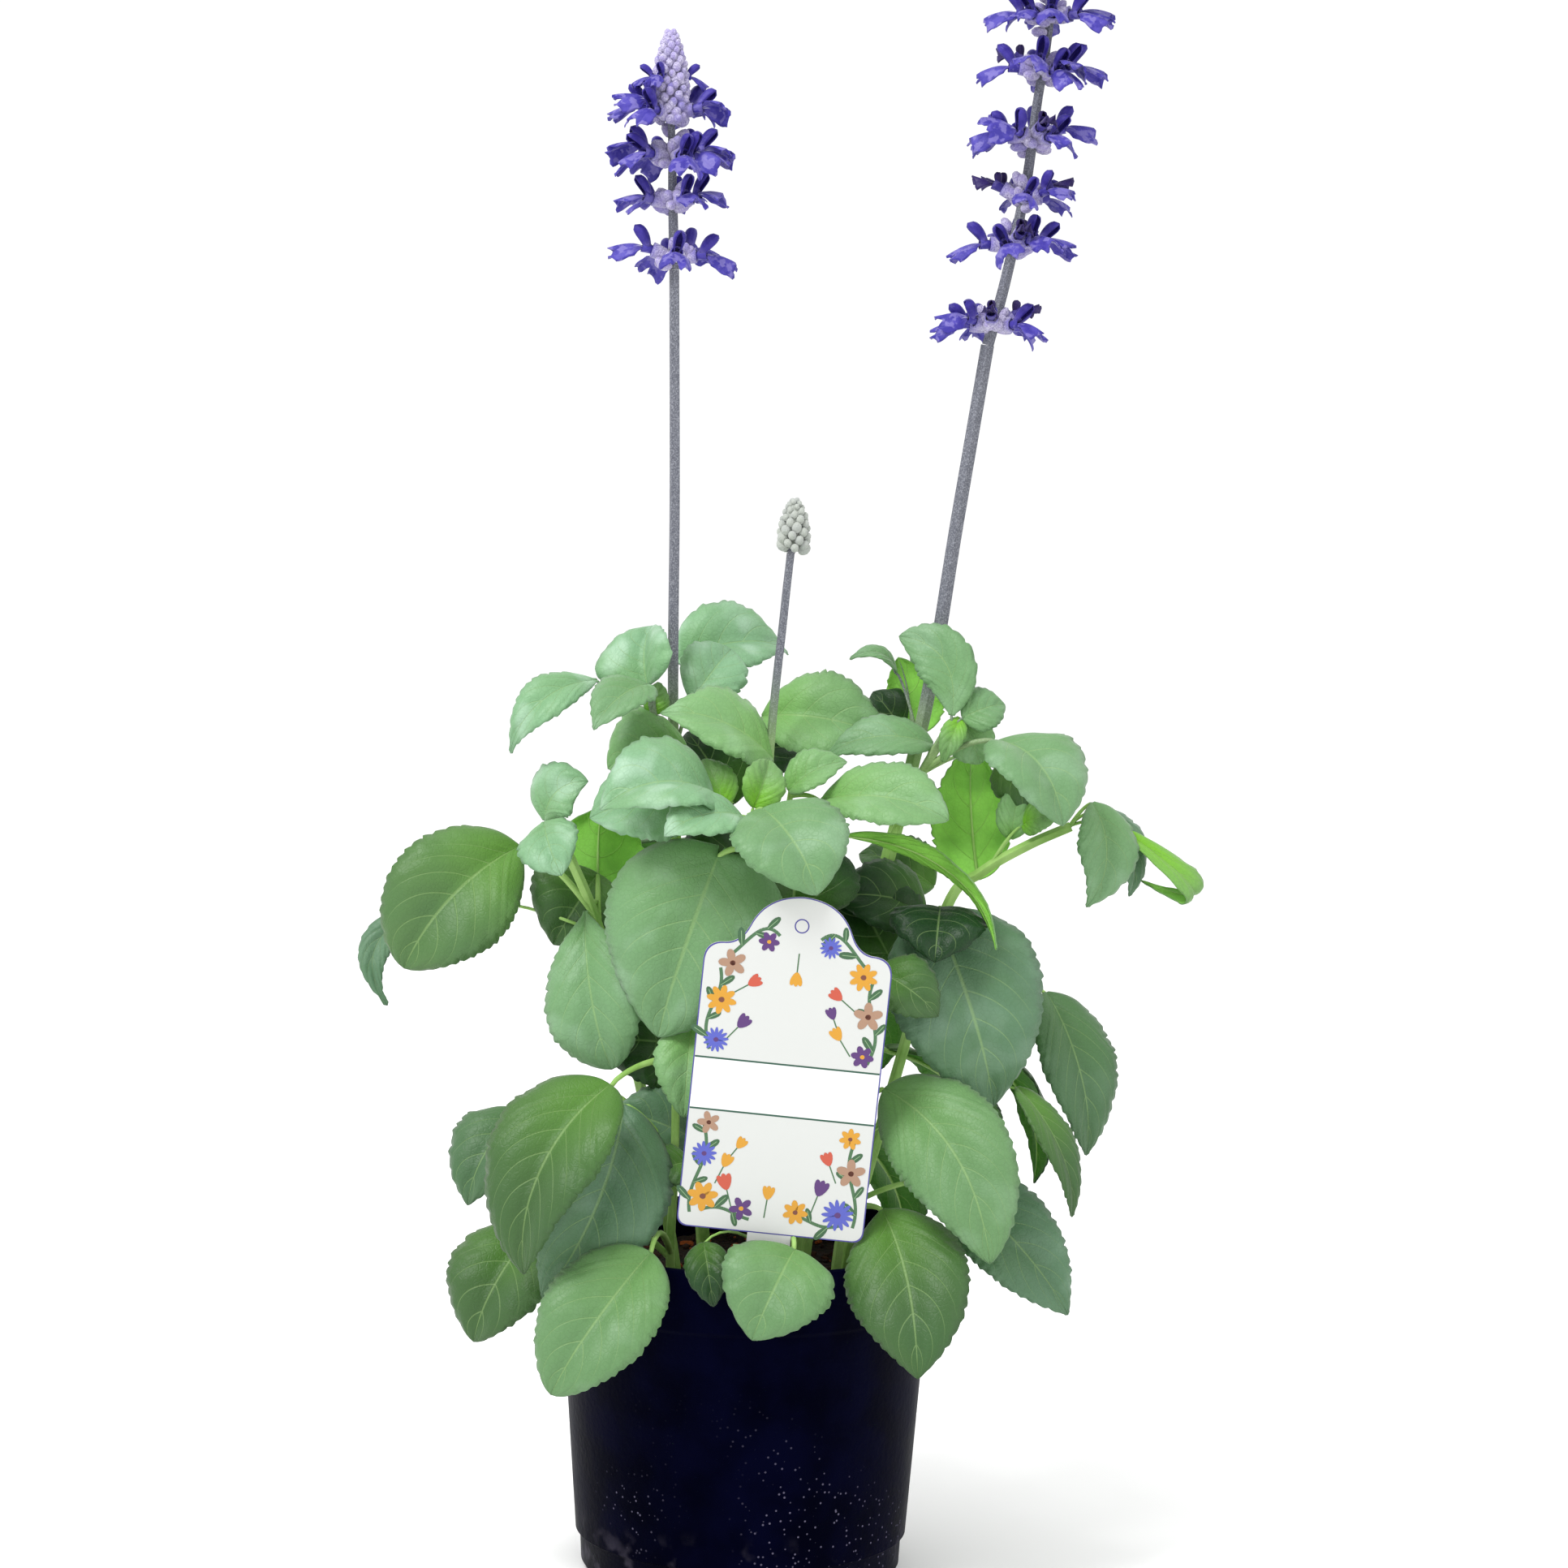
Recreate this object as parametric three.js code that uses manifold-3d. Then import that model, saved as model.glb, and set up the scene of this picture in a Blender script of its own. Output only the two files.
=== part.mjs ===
// Potted mealycup sage: a round nursery pot of soil with two flowering stalks, a budding stalk,
// leafy side stems all round and a die-cut label card on a stake.
// Millimetres, +Z up. The origin is the middle of the pot's foot, and the label faces -Y.
import * as THREE from 'three';
import { mergeVertices } from 'three/addons/utils/BufferGeometryUtils.js';
import Module from 'manifold-3d';

const wasm = await Module();
wasm.setup();

// Pot
const POT_HEIGHT = 120;
const POT_RIM_RADIUS = 66.4;
const POT_NECK_RADIUS = 65;
const POT_FOOT_RADIUS = 57.7;
const POT_BAND_HEIGHT = 22;
const POT_WALL = 1.4;
const POT_FLOOR = 2;
const FOOT_CHAMFER = 2.5;
const DRAIN_HOLES = 4;
const DRAIN_RADIUS = 4;
const DRAIN_CIRCLE = 36;
const POT_SIDES = 30;

// Soil and what stands in it
const GAP = 0.3;
const SOIL_HEIGHT = 106;
const SOIL_RINGS = 3;
const SOIL_SIDES = 22;
const SOIL_SETTLE = 0.4;
const SOIL_ROUGHNESS = 1.6;
const HOLE_BOTTOM = 70;
const STEM_BOTTOM = 72;

// Label card
const CARD_WIDTH = 64;
const CARD_SHOULDER = 100;
const CARD_HEIGHT = 118;
const CARD_THICK = 0.8;
const CARD_CORNER = 4;
const SHOULDER_ROUND = 7;
const ARCH_REACH = 20;
const ARCH_FOOT = [17.4, 106.5];
const ARCH_CORNER = [13, 117.5];
const STAKE_WIDTH = 15;
const STAKE_LENGTH = 60;
const STAKE_POINT = 14;
const STAKE_END = 1;
const CARD_FOOT = [8.3, -54.5, 131.5];
const CARD_SWAY_DEG = 4.8;
const CARD_LEAN_DEG = 3.5;

// Leaves and stems
const BLADE_THICK = 0.7;
const BASE_HALF_WIDTH = 1;
const STALK_RADIUS = 1.0;
const STALK_STEPS = 2;
const STALK_SHARE = 0.66;
const TOOTH_DEPTH = 0.035;
const TOOTH_CREST = 0.7;
const SMALL_LEAF = 36;
const SEED = 7;

const GREEN = 0x6f9f5c;
const PALE_GREEN = 0x93bd86;
const GREY_VIOLET = 0x85808f;
const VIOLET_BLUE = 0x4a3fb0;

const UP = new THREE.Vector3(0, 0, 1);
const vec = ([x, y, z]) => new THREE.Vector3(x, y, z);

function seeded(seed) {
  let state = seed;
  return () => {
    state = (state * 16807) % 2147483647;
    return state / 2147483647;
  };
}

// A closed geometry as a solid, with its shared corners merged
function solid(geometry) {
  geometry.deleteAttribute('normal');
  geometry.deleteAttribute('uv');
  const merged = mergeVertices(geometry, 1e-4);
  return new wasm.Manifold(new wasm.Mesh({
    numProp: 3,
    vertProperties: new Float32Array(merged.attributes.position.array),
    triVerts: new Uint32Array(merged.index.array),
  }));
}

function join(solids) {
  return solids.reduce((whole, piece) => whole.add(piece));
}

function material(color, roughness) {
  return new THREE.MeshStandardMaterial({ color, roughness, metalness: 0 });
}

function addNode(group, name, whole, color, roughness) {
  const { vertProperties, triVerts } = whole.getMesh();
  const geometry = new THREE.BufferGeometry();
  geometry.setAttribute('position', new THREE.BufferAttribute(vertProperties, 3));
  geometry.setIndex(new THREE.BufferAttribute(triVerts, 1));
  const mesh = new THREE.Mesh(geometry, material(color, roughness));
  mesh.name = name;
  group.add(mesh);
}

function polygonShape(sides, radius, squash = 1) {
  const points = [];
  for (let i = 0; i < sides; i += 1) {
    const turn = ((i + 0.5) / sides) * Math.PI * 2;
    points.push(new THREE.Vector2(Math.cos(turn) * radius, Math.sin(turn) * radius * squash));
  }
  return new THREE.Shape(points);
}

function tube(points, radius, sides, steps) {
  const path = new THREE.CatmullRomCurve3(points);
  return solid(new THREE.ExtrudeGeometry(polygonShape(sides, radius), {
    steps, extrudePath: path, bevelEnabled: false,
  }));
}

function turned(points, sides) {
  const profile = points.map(([r, z]) => new THREE.Vector2(r, z));
  const geometry = new THREE.LatheGeometry(profile, sides);
  geometry.rotateX(Math.PI / 2);
  return solid(geometry);
}

// Pot: one moulded wall with a deep band at the rim and drain holes in its flat foot
function potWallRadius(z) {
  const share = z / (POT_HEIGHT - POT_BAND_HEIGHT);
  return POT_FOOT_RADIUS + (POT_NECK_RADIUS - POT_FOOT_RADIUS) * share;
}

function buildPot() {
  const bandFoot = POT_HEIGHT - POT_BAND_HEIGHT;
  const body = turned([
    [0, 0],
    [POT_FOOT_RADIUS - FOOT_CHAMFER, 0],
    [POT_FOOT_RADIUS, FOOT_CHAMFER],
    [POT_NECK_RADIUS, bandFoot],
    [POT_RIM_RADIUS - 0.6, bandFoot],
    [POT_RIM_RADIUS, POT_HEIGHT],
    [POT_RIM_RADIUS - 2 * POT_WALL, POT_HEIGHT],
    [POT_NECK_RADIUS - POT_WALL, bandFoot],
    [POT_FOOT_RADIUS - POT_WALL, POT_FLOOR],
    [0, POT_FLOOR],
  ], POT_SIDES);
  const holes = [];
  for (let i = 0; i < DRAIN_HOLES; i += 1) {
    const turn = (i / DRAIN_HOLES) * Math.PI * 2;
    const drill = new THREE.CylinderGeometry(DRAIN_RADIUS, DRAIN_RADIUS, 20, 8);
    drill.rotateX(Math.PI / 2);
    drill.translate(DRAIN_CIRCLE * Math.cos(turn), DRAIN_CIRCLE * Math.sin(turn), 0);
    holes.push(solid(drill));
  }
  return body.subtract(join(holes));
}

// Soil: fills the pot to just under the rim, crumbly on top, with a plain hole for each stem
function soilTop(x, y) {
  const lumps = Math.sin(x * 0.31 + 1.2) * Math.cos(y * 0.27) + Math.sin((x + y) * 0.17);
  return SOIL_HEIGHT + SOIL_ROUGHNESS * 0.5 * lumps;
}

function buildSoil(drills) {
  const foot = POT_FLOOR + GAP;
  const inset = POT_WALL + GAP + SOIL_SETTLE;
  const neck = POT_HEIGHT - POT_BAND_HEIGHT;
  const profile = [[0, foot], [potWallRadius(foot) - inset, foot], [POT_NECK_RADIUS - inset, neck]];
  for (let i = SOIL_RINGS; i >= 1; i -= 1) {
    profile.push([((POT_NECK_RADIUS - inset) * i) / SOIL_RINGS, SOIL_HEIGHT]);
  }
  profile.push([0, SOIL_HEIGHT]);
  const geometry = new THREE.LatheGeometry(profile.map(([r, z]) => new THREE.Vector2(r, z)), SOIL_SIDES);
  geometry.rotateX(Math.PI / 2);
  const places = geometry.attributes.position;
  for (let i = 0; i < places.count; i += 1) {
    if (places.getZ(i) > SOIL_HEIGHT - 1) {
      places.setZ(i, soilTop(places.getX(i), places.getY(i)));
    }
  }
  return solid(geometry).subtract(join(drills));
}

// Label: one sheet of plastic with a rounded card, an arched top and a stake
function cardOutline() {
  const half = CARD_WIDTH / 2;
  const stake = STAKE_WIDTH / 2;
  const [archX, archY] = ARCH_FOOT;
  const [cornerX, cornerY] = ARCH_CORNER;
  const shape = new THREE.Shape();
  shape.moveTo(stake, 0);
  shape.lineTo(half - CARD_CORNER, 0);
  shape.quadraticCurveTo(half, 0, half, CARD_CORNER);
  shape.lineTo(half, CARD_SHOULDER - SHOULDER_ROUND);
  shape.quadraticCurveTo(half, CARD_SHOULDER, half - SHOULDER_ROUND, CARD_SHOULDER);
  shape.quadraticCurveTo(ARCH_REACH, CARD_SHOULDER, archX, archY);
  shape.quadraticCurveTo(cornerX, cornerY, 0, CARD_HEIGHT);
  shape.quadraticCurveTo(-cornerX, cornerY, -archX, archY);
  shape.quadraticCurveTo(-ARCH_REACH, CARD_SHOULDER, SHOULDER_ROUND - half, CARD_SHOULDER);
  shape.quadraticCurveTo(-half, CARD_SHOULDER, -half, CARD_SHOULDER - SHOULDER_ROUND);
  shape.lineTo(-half, CARD_CORNER);
  shape.quadraticCurveTo(-half, 0, CARD_CORNER - half, 0);
  shape.lineTo(-stake, 0);
  shape.lineTo(-stake, STAKE_POINT - STAKE_LENGTH);
  shape.lineTo(-STAKE_END, -STAKE_LENGTH);
  shape.lineTo(STAKE_END, -STAKE_LENGTH);
  shape.lineTo(stake, STAKE_POINT - STAKE_LENGTH);
  shape.closePath();
  return shape;
}

// Stands a flat drawing up at the card's place: upright, facing -Y, then swayed and leant
function placeOnCard(geometry) {
  geometry.rotateX(Math.PI / 2);
  geometry.rotateY(THREE.MathUtils.degToRad(CARD_SWAY_DEG));
  geometry.rotateX(THREE.MathUtils.degToRad(CARD_LEAN_DEG));
  geometry.translate(...CARD_FOOT);
  return geometry;
}

function buildLabel() {
  const sheet = new THREE.ExtrudeGeometry(cardOutline(), {
    depth: CARD_THICK, bevelEnabled: false, curveSegments: 4,
  });
  return solid(placeOnCard(sheet));
}

function stakeSlot() {
  const slot = new THREE.BoxGeometry(STAKE_WIDTH + 2 * GAP, STAKE_LENGTH + 2, CARD_THICK + 2 * GAP);
  slot.translate(0, -STAKE_LENGTH / 2, CARD_THICK / 2);
  return solid(placeOnCard(slot));
}

// A leaf's frame along its midrib, from its base (0) to its tip (1)
function midrib(leaf, u) {
  const { base, chord, face, side } = leaf;
  const swell = 4 * u * (1 - u);
  return base.clone()
    .addScaledVector(chord, u + leaf.skew * swell)
    .addScaledVector(face, chord.length() * leaf.arch * swell)
    .addScaledVector(side, chord.length() * leaf.bend * swell);
}

function leafFrame(spec) {
  const base = vec(spec.base);
  const chord = vec(spec.tip).sub(base);
  const along = chord.clone().normalize();
  const [azimuth, height] = spec.face.map(THREE.MathUtils.degToRad);
  const look = new THREE.Vector3(
    Math.cos(azimuth) * Math.cos(height),
    Math.sin(azimuth) * Math.cos(height),
    Math.sin(height),
  );
  const face = look.addScaledVector(along, -look.dot(along)).normalize();
  const side = along.clone().cross(face);
  const teeth = spec.width > SMALL_LEAF ? 5 : 4;
  const form = { arch: 0.12, bend: 0, fold: 12, rise: 0.1, widest: 0.4, point: 0.95, skew: 0, teeth };
  return { ...form, ...spec, base, chord, face, side };
}

// Half the width of an ovate blade along its length, as a share of the widest
function ovate(u, { widest, point }) {
  const back = point * (widest / (1 - widest));
  const peak = widest ** back * (1 - widest) ** point;
  return (u ** back * (1 - u) ** point) / peak;
}

// A thin solid from one surface: the same triangles above and below, joined round the rim
function plate(middle, offsets, faces, rim) {
  const count = middle.length;
  const places = [];
  for (const way of [1, -1]) {
    middle.forEach((point, i) => {
      const place = point.clone().addScaledVector(offsets[i], way);
      places.push(place.x, place.y, place.z);
    });
  }
  const index = [];
  for (const [a, b, c] of faces) {
    index.push(a, b, c, a + count, c + count, b + count);
  }
  rim.forEach((a, i) => {
    const b = rim[(i + 1) % rim.length];
    index.push(a, a + count, b + count, a, b + count, b);
  });
  const geometry = new THREE.BufferGeometry();
  geometry.setAttribute('position', new THREE.Float32BufferAttribute(places, 3));
  geometry.setIndex(index);
  return solid(geometry);
}

// A ribbon through stations along its rib, each with its half width, thickness, fold and the
// tooth that stands out between it and the next. It ends in a point.
function ribbon(stations) {
  const middle = [];
  const offsets = [];
  const put = (station, halfWidth, hand, centre = station.centre) => {
    const { side, face, fold, thick } = station;
    const point = centre.clone().addScaledVector(side, hand * halfWidth * Math.cos(fold));
    point.addScaledVector(face, halfWidth * Math.sin(fold));
    middle.push(point);
    offsets.push(face.clone().multiplyScalar((hand ? station.edge ?? thick : thick) / 2));
    return middle.length - 1;
  };
  const last = stations.length - 1;
  const mid = stations.map((station) => put(station, 0, 0));
  const faces = [];
  const edges = {};
  for (const hand of [-1, 1]) {
    const edge = stations.slice(0, last).map((station) => put(station, station.half, hand));
    edge.push(mid[last]);
    const line = [];
    const add = (a, b, c) => faces.push(hand > 0 ? [a, b, c] : [a, c, b]);
    for (let k = 0; k < last; k += 1) {
      line.push(edge[k]);
      add(mid[k], edge[k], edge[k + 1]);
      if (k < last - 1) {
        add(mid[k], edge[k + 1], mid[k + 1]);
      }
      if (stations[k].tooth) {
        const between = stations[k].centre.clone().lerp(stations[k + 1].centre, TOOTH_CREST);
        line.push(put(stations[k], stations[k].tooth, hand, between));
        add(edge[k], line[line.length - 1], edge[k + 1]);
      }
    }
    edges[hand] = line;
  }
  return plate(middle, offsets, faces, [...edges[1], mid[last], ...edges[-1].reverse(), mid[0]]);
}

// A leaf with its stalk: the stalk leaves its root in the stem, and its rib runs on as the
// midrib of a thin blade that is folded up along it and toothed at the edge
function leafSolid(leaf, root) {
  const start = vec(root);
  const reach = leaf.base.clone().sub(start);
  const middle = start.clone().addScaledVector(reach, 0.55);
  middle.addScaledVector(UP, reach.length() * leaf.rise);
  const stalk = new THREE.CatmullRomCurve3([start, middle, leaf.base, midrib(leaf, 0.12)]);
  const places = [];
  for (let k = 0; k < STALK_STEPS; k += 1) {
    places.push({ centre: stalk.getPoint((k / STALK_STEPS) * STALK_SHARE) });
  }
  const tooth = leaf.width * TOOTH_DEPTH;
  for (let k = 0; k <= leaf.teeth; k += 1) {
    const u = k / leaf.teeth;
    const crest = (leaf.width / 2) * ovate(u + TOOTH_CREST / leaf.teeth, leaf) + tooth * TOOTH_CREST;
    const half = Math.max(BASE_HALF_WIDTH, (leaf.width / 2) * ovate(u, leaf) - tooth);
    places.push({ centre: midrib(leaf, u), u, half, tooth: k < leaf.teeth ? crest : 0 });
  }
  const last = places.length - 1;
  let side = leaf.side;
  for (let k = last; k >= 0; k -= 1) {
    const here = places[k];
    const tangent = places[Math.min(k + 1, last)].centre.clone();
    tangent.sub(places[Math.max(k - 1, 0)].centre).normalize();
    side = side.clone().addScaledVector(tangent, -side.dot(tangent)).normalize();
    here.side = side;
    here.face = side.clone().cross(tangent);
    here.fold = here.u === undefined ? 0 : THREE.MathUtils.degToRad(leaf.fold);
    here.thick = here.u ? BLADE_THICK : 2 * STALK_RADIUS;
    here.edge = here.u === undefined ? STALK_RADIUS : BLADE_THICK;
    here.half = here.half ?? STALK_RADIUS;
  }
  return ribbon(places);
}

// A stem with all that grows from it, and the plain hole that it stands in
function pointAtHeight(route, height) {
  const last = route.length - 1;
  const k = Math.min(last - 1, Math.max(0, route.findIndex(([, , z]) => z > height) - 1));
  const [low, high] = [vec(route[k]), vec(route[k + 1])];
  return low.lerp(high, (height - low.z) / (high.z - low.z)).toArray();
}

function buildStem(stem) {
  const parts = [tube(stem.route.map(vec), stem.radius, 6, stem.route.length + 1)];
  for (const branch of stem.branches ?? []) {
    parts.push(tube(branch.map(vec), stem.radius * 0.7, 4, branch.length + 1));
  }
  for (const spec of stem.leaves) {
    const root = Array.isArray(spec.from) ? spec.from : pointAtHeight(stem.route, spec.from);
    parts.push(leafSolid(leafFrame(spec), root));
  }
  return join(parts);
}

function stemDrill(stem) {
  const radius = stem.radius * 1.3 + GAP;
  const [foot, mouth] = stem.route;
  const low = vec(foot);
  const high = vec(mouth);
  const slope = high.clone().sub(low).divideScalar(high.z - low.z);
  const bottom = low.clone().addScaledVector(slope, HOLE_BOTTOM - low.z);
  const top = low.clone().addScaledVector(slope, SOIL_HEIGHT + 6 - low.z);
  return tube([bottom, top], radius, 6, 1);
}

// Stems: routes from inside the soil upwards, with every leaf's stalk root, base, tip, width
// and the way its upper side looks (degrees round from +X, and up from level)
const LEFT_FLOWERING = {
  name: 'left_flowering_stem',
  radius: 1.8,
  route: [[-13, 10, STEM_BOTTOM], [-15, 11, 116], [-24, 12, 200], [-29, 12, 295], [-30, 12, 380],
    [-31.5, 12, 458]],
  branches: [
    [[-28, 12, 275], [-33, 8, 290], [-37, 5, 309]],
  ],
  leaves: [
    { from: 281, base: [-56, 10, 314], tip: [-88, -5, 289], width: 18, face: [-90, 45], arch: 0.27,
      widest: 0.45, point: 1.25 },
    { from: [-37, 5, 306], base: [-38, 5, 313], tip: [-37, 18, 334], width: 36, face: [-125, 25],
      bend: -0.02, fold: 32, widest: 0.3, point: 1.1 },
    { from: [-37, 5, 305], base: [-38, -2, 314], tip: [-56, -25, 301], width: 22, face: [-100, 50],
      point: 1.1 },
    { from: [-37, 5, 304], base: [-37, 6, 303], tip: [-34, 10, 314], width: 10, face: [-70, 10] },
    { from: 290, base: [-29, 38, 319], tip: [13, 52, 323], width: 35, face: [-90, 42], arch: 0.16,
      fold: 25, widest: 0.36, point: 1.4 },
    { from: 288, base: [-23, 15, 307], tip: [-9, 30, 325], width: 25, face: [-90, 15], widest: 0.5,
      point: 0.8 },
    { from: 262, base: [-24, 7, 291], tip: [-52, -4, 285], width: 32, face: [-95, 45], arch: 0.2,
      fold: 18, widest: 0.45, point: 0.9 },
    { from: 240, base: [-26, 38, 254], tip: [-46, 70, 226], width: 32, face: [120, 45] },
  ],
};

const BUDDING = {
  name: 'budding_stem',
  radius: 1.4,
  route: [[2, -10, STEM_BOTTOM], [3, -8, 116], [3, -4, 200], [5, -2, 288], [9, -2, 339], [11, -2, 361]],
  branches: [
    [[3, -4, 215], [4, -20, 238], [1, -34, 258], [-1, -37, 274]],
    [[4, -3, 240], [10, -10, 262], [13, -19, 281]],
  ],
  leaves: [
    { from: 280, base: [6, -3, 289], tip: [-33, -16, 307], width: 32, face: [-90, 50], arch: 0.14,
      widest: 0.45, point: 1.1 },
    { from: 272, base: [2, 25, 301], tip: [49, 16, 294], width: 36, face: [-90, 35], arch: 0.14,
      fold: 18, widest: 0.42, point: 1.05 },
    { from: [0, -36, 266], base: [-14, -24, 278], tip: [-53, -45, 276], width: 40, face: [-97, 48],
      arch: 0.2, fold: 22 },
    { from: [-1, -37, 271], base: [-4, -38, 273], tip: [-30, -58, 269], width: 27, face: [-90, 55] },
    { from: [-1, -37, 272], base: [0, -37, 276], tip: [5, -28, 292], width: 17, face: [-70, 20],
      fold: 24 },
    { from: [-1, -37, 272], base: [3, -42, 276], tip: [23, -70, 252], width: 42, face: [-80, 40],
      widest: 0.46, point: 0.8 },
    { from: [0, -35, 262], base: [-12, -33, 258], tip: [-32, -41, 196], width: 64, face: [-97, 22],
      arch: 0.04, fold: 4, widest: 0.34, point: 0.8 },
    { from: [13, -18, 279], base: [12, -22, 280], tip: [32, -19, 291], width: 19, face: [-110, 45],
      fold: 22 },
    { from: [13, -18, 278], base: [23, -24, 277], tip: [67, -44, 275], width: 30, face: [-90, 46],
      arch: 0.12, fold: 18, widest: 0.5, point: 0.75 },
    { from: [11, -13, 268], base: [32, -30, 266], tip: [87, -42, 230], width: 15, face: [45, 45],
      arch: 0.17, point: 0.9 },
  ],
};

const RIGHT_FLOWERING = {
  name: 'right_flowering_stem',
  radius: 2.1,
  route: [[18, 6, STEM_BOTTOM], [21, 6, 116], [32, 7, 180], [41, 8, 226], [59, 8, 305], [69, 8, 373],
    [78, 8, 434]],
  branches: [
    [[49, 8, 262], [58, 0, 284], [68, -8, 303]],
  ],
  leaves: [
    { from: [68, -8, 301], base: [68, -8, 306], tip: [49, 2, 333], width: 21, face: [-95, 12],
      arch: 0.06, bend: 0.24, widest: 0.5, point: 0.8 },
    { from: 296, base: [49, 12, 319], tip: [32, 8, 324], width: 9, face: [-90, 60], arch: 0.3 },
    { from: 282, base: [55, 14, 296], tip: [50, 20, 324], width: 25, face: [70, 0], fold: 28 },
    { from: [68, -8, 301], base: [72, -7, 305], tip: [87, -3, 310], width: 18, face: [-80, 35] },
    { from: [59, -1, 286], base: [84, -14, 298], tip: [107, -38, 272], width: 38, face: [-60, 35],
      arch: 0.2, widest: 0.45, point: 0.85 },
    { from: [59, -1, 285], base: [62, 0, 295], tip: [24, -2, 291], width: 20, face: [-90, 50],
      arch: 0.16 },
    { from: 222, base: [60, 18, 233], tip: [36, 24, 229], width: 22, face: [-90, 35] },
    { from: 212, base: [52, 24, 226], tip: [70, 52, 196], width: 30, face: [45, 45] },
  ],
};

const LEFT_LEAFY = {
  name: 'left_leafy_stem',
  radius: 1.6,
  route: [[-22, -4, STEM_BOTTOM], [-26, -5, 116], [-42, -8, 190], [-55, -3, 232], [-69, -6, 264]],
  leaves: [
    { from: 260, base: [-70, -5, 267], tip: [-58, -10, 282], width: 19, face: [-110, 35] },
    { from: 259, base: [-70, -9, 265], tip: [-65, -28, 250], width: 19, face: [-110, 30] },
    { from: 234, base: [-82, 0, 261], tip: [-123, -20, 213], width: 46, face: [-80, 20], arch: 0.1 },
    { from: 226, base: [-90, 25, 244.6], tip: [-127, 18, 200], width: 30, face: [-110, 20], arch: 0.2 },
    { from: 228, base: [-62, 10, 246], tip: [-61, 4, 218], width: 30, face: [-90, 0] },
    { from: 236, base: [-57, 9.5, 245], tip: [-46, 28, 271], width: 34, face: [100, -5] },
    { from: 224, base: [-53, -32, 240], tip: [-46, -57, 188], width: 30, face: [-110, 15] },
    { from: 150, base: [-74, -8, 164], tip: [-98, -26, 134], width: 30, face: [-120, 25] },
    { from: 160, base: [-60, 26, 166], tip: [-88, 48, 122], width: 34, face: [155, 35] },
  ],
};

const RIGHT_LEAFY = {
  name: 'right_leafy_stem',
  radius: 1.6,
  route: [[32, -4, STEM_BOTTOM], [36, -5, 116], [52, -6, 180], [68, 0, 237], [80, 1, 250], [96, 0, 260],
    [111, 0, 267]],
  leaves: [
    { from: [110, 0, 266], base: [118, -4, 276], tip: [117, -14, 240], width: 25, face: [-60, 20],
      bend: -0.1, point: 1.1 },
    { from: [110, 0, 267], base: [121, 1, 273], tip: [133, -4, 243], width: 18, face: [-40, 15],
      bend: -0.1 },
    { from: [110, 0, 267], base: [126, 2, 268], tip: [136, 4, 247], width: 14, face: [-35, 8],
      arch: 0.84, skew: 0.8 },
    { from: [80, 1, 249], base: [79, 5, 247], tip: [76, 16, 295], width: 29, face: [100, 0] },
    { from: [84, 1, 252], base: [90, 2, 262], tip: [93, 6, 282], width: 13, face: [-90, 20] },
    { from: 232, base: [63, -17, 239], tip: [86, -33, 172], width: 56, face: [-85, 30] },
    { from: 216, base: [104, 0, 208], tip: [120, -18, 153], width: 31, face: [-60, 15] },
    { from: 190, base: [78, 14, 190], tip: [106, 30, 134], width: 36, face: [20, 35] },
  ],
};

const FRONT_LEFT_LEAFY = {
  name: 'front_left_leafy_stem',
  radius: 1.5,
  route: [[-24, -24, STEM_BOTTOM], [-26, -26, 116], [-25, -30, 150], [-25, -36, 192]],
  leaves: [
    { from: 188, base: [-46, -50, 183], tip: [-76, -76, 121], width: 42, face: [-105, 25] },
    { from: 190, base: [-19, -36, 199], tip: [-22, -49, 169], width: 24, face: [-90, 15] },
    { from: 152, base: [-50, -30, 168], tip: [-69, -50, 107], width: 46, face: [-80, 10] },
    { from: 116, base: [-66, -26, 128], tip: [-92, -44, 90], width: 36, face: [-110, 30] },
    { from: 118, base: [-35, -58, 126], tip: [-66, -82, 80], width: 38, face: [-97, 30], arch: 0.08 },
    { from: 150, base: [-36, -24, 158], tip: [-54, -22, 158], width: 20, face: [-90, 40] },
    { from: 140, base: [-20, -36, 152], tip: [-34, -42, 148], width: 17, face: [-90, 35] },
  ],
};

const FRONT_RIGHT_LEAFY = {
  name: 'front_right_leafy_stem',
  radius: 1.5,
  route: [[30, -26, STEM_BOTTOM], [32, -27, 116], [38, -32, 160], [40, -38, 222]],
  leaves: [
    { from: 216, base: [43, -41, 221], tip: [65, -49, 207], width: 24, face: [-80, 30] },
    { from: 172, base: [47, -36, 179], tip: [83, -74, 127], width: 40, face: [-100, 25], arch: 0.07,
      bend: -0.12, fold: 5, widest: 0.42, point: 0.8 },
    { from: 134, base: [47, -43, 138], tip: [59, -82, 89], width: 43, face: [-98, 20], arch: 0.06,
      bend: -0.06, fold: 6, widest: 0.45 },
    { from: 136, base: [72, -28, 145], tip: [113, -46, 103], width: 34, face: [-70, 12] },
    { from: 160, base: [93, -28, 179], tip: [114, -44, 137], width: 17, face: [-45, 15], point: 0.9 },
  ],
};

const FRONT_LEAFY = {
  name: 'front_leafy_stem',
  radius: 1.3,
  route: [[14, -34, STEM_BOTTOM], [15, -35, 116]],
  leaves: [
    { from: 115, base: [17, -59, 127], tip: [3, -79, 100], width: 40, face: [-90, 28], rise: 0.3,
      point: 0.85 },
    { from: 112, base: [-14, -60, 129], tip: [-10, -70, 109], width: 16, face: [-90, 20], rise: 0.2 },
  ],
};

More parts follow.
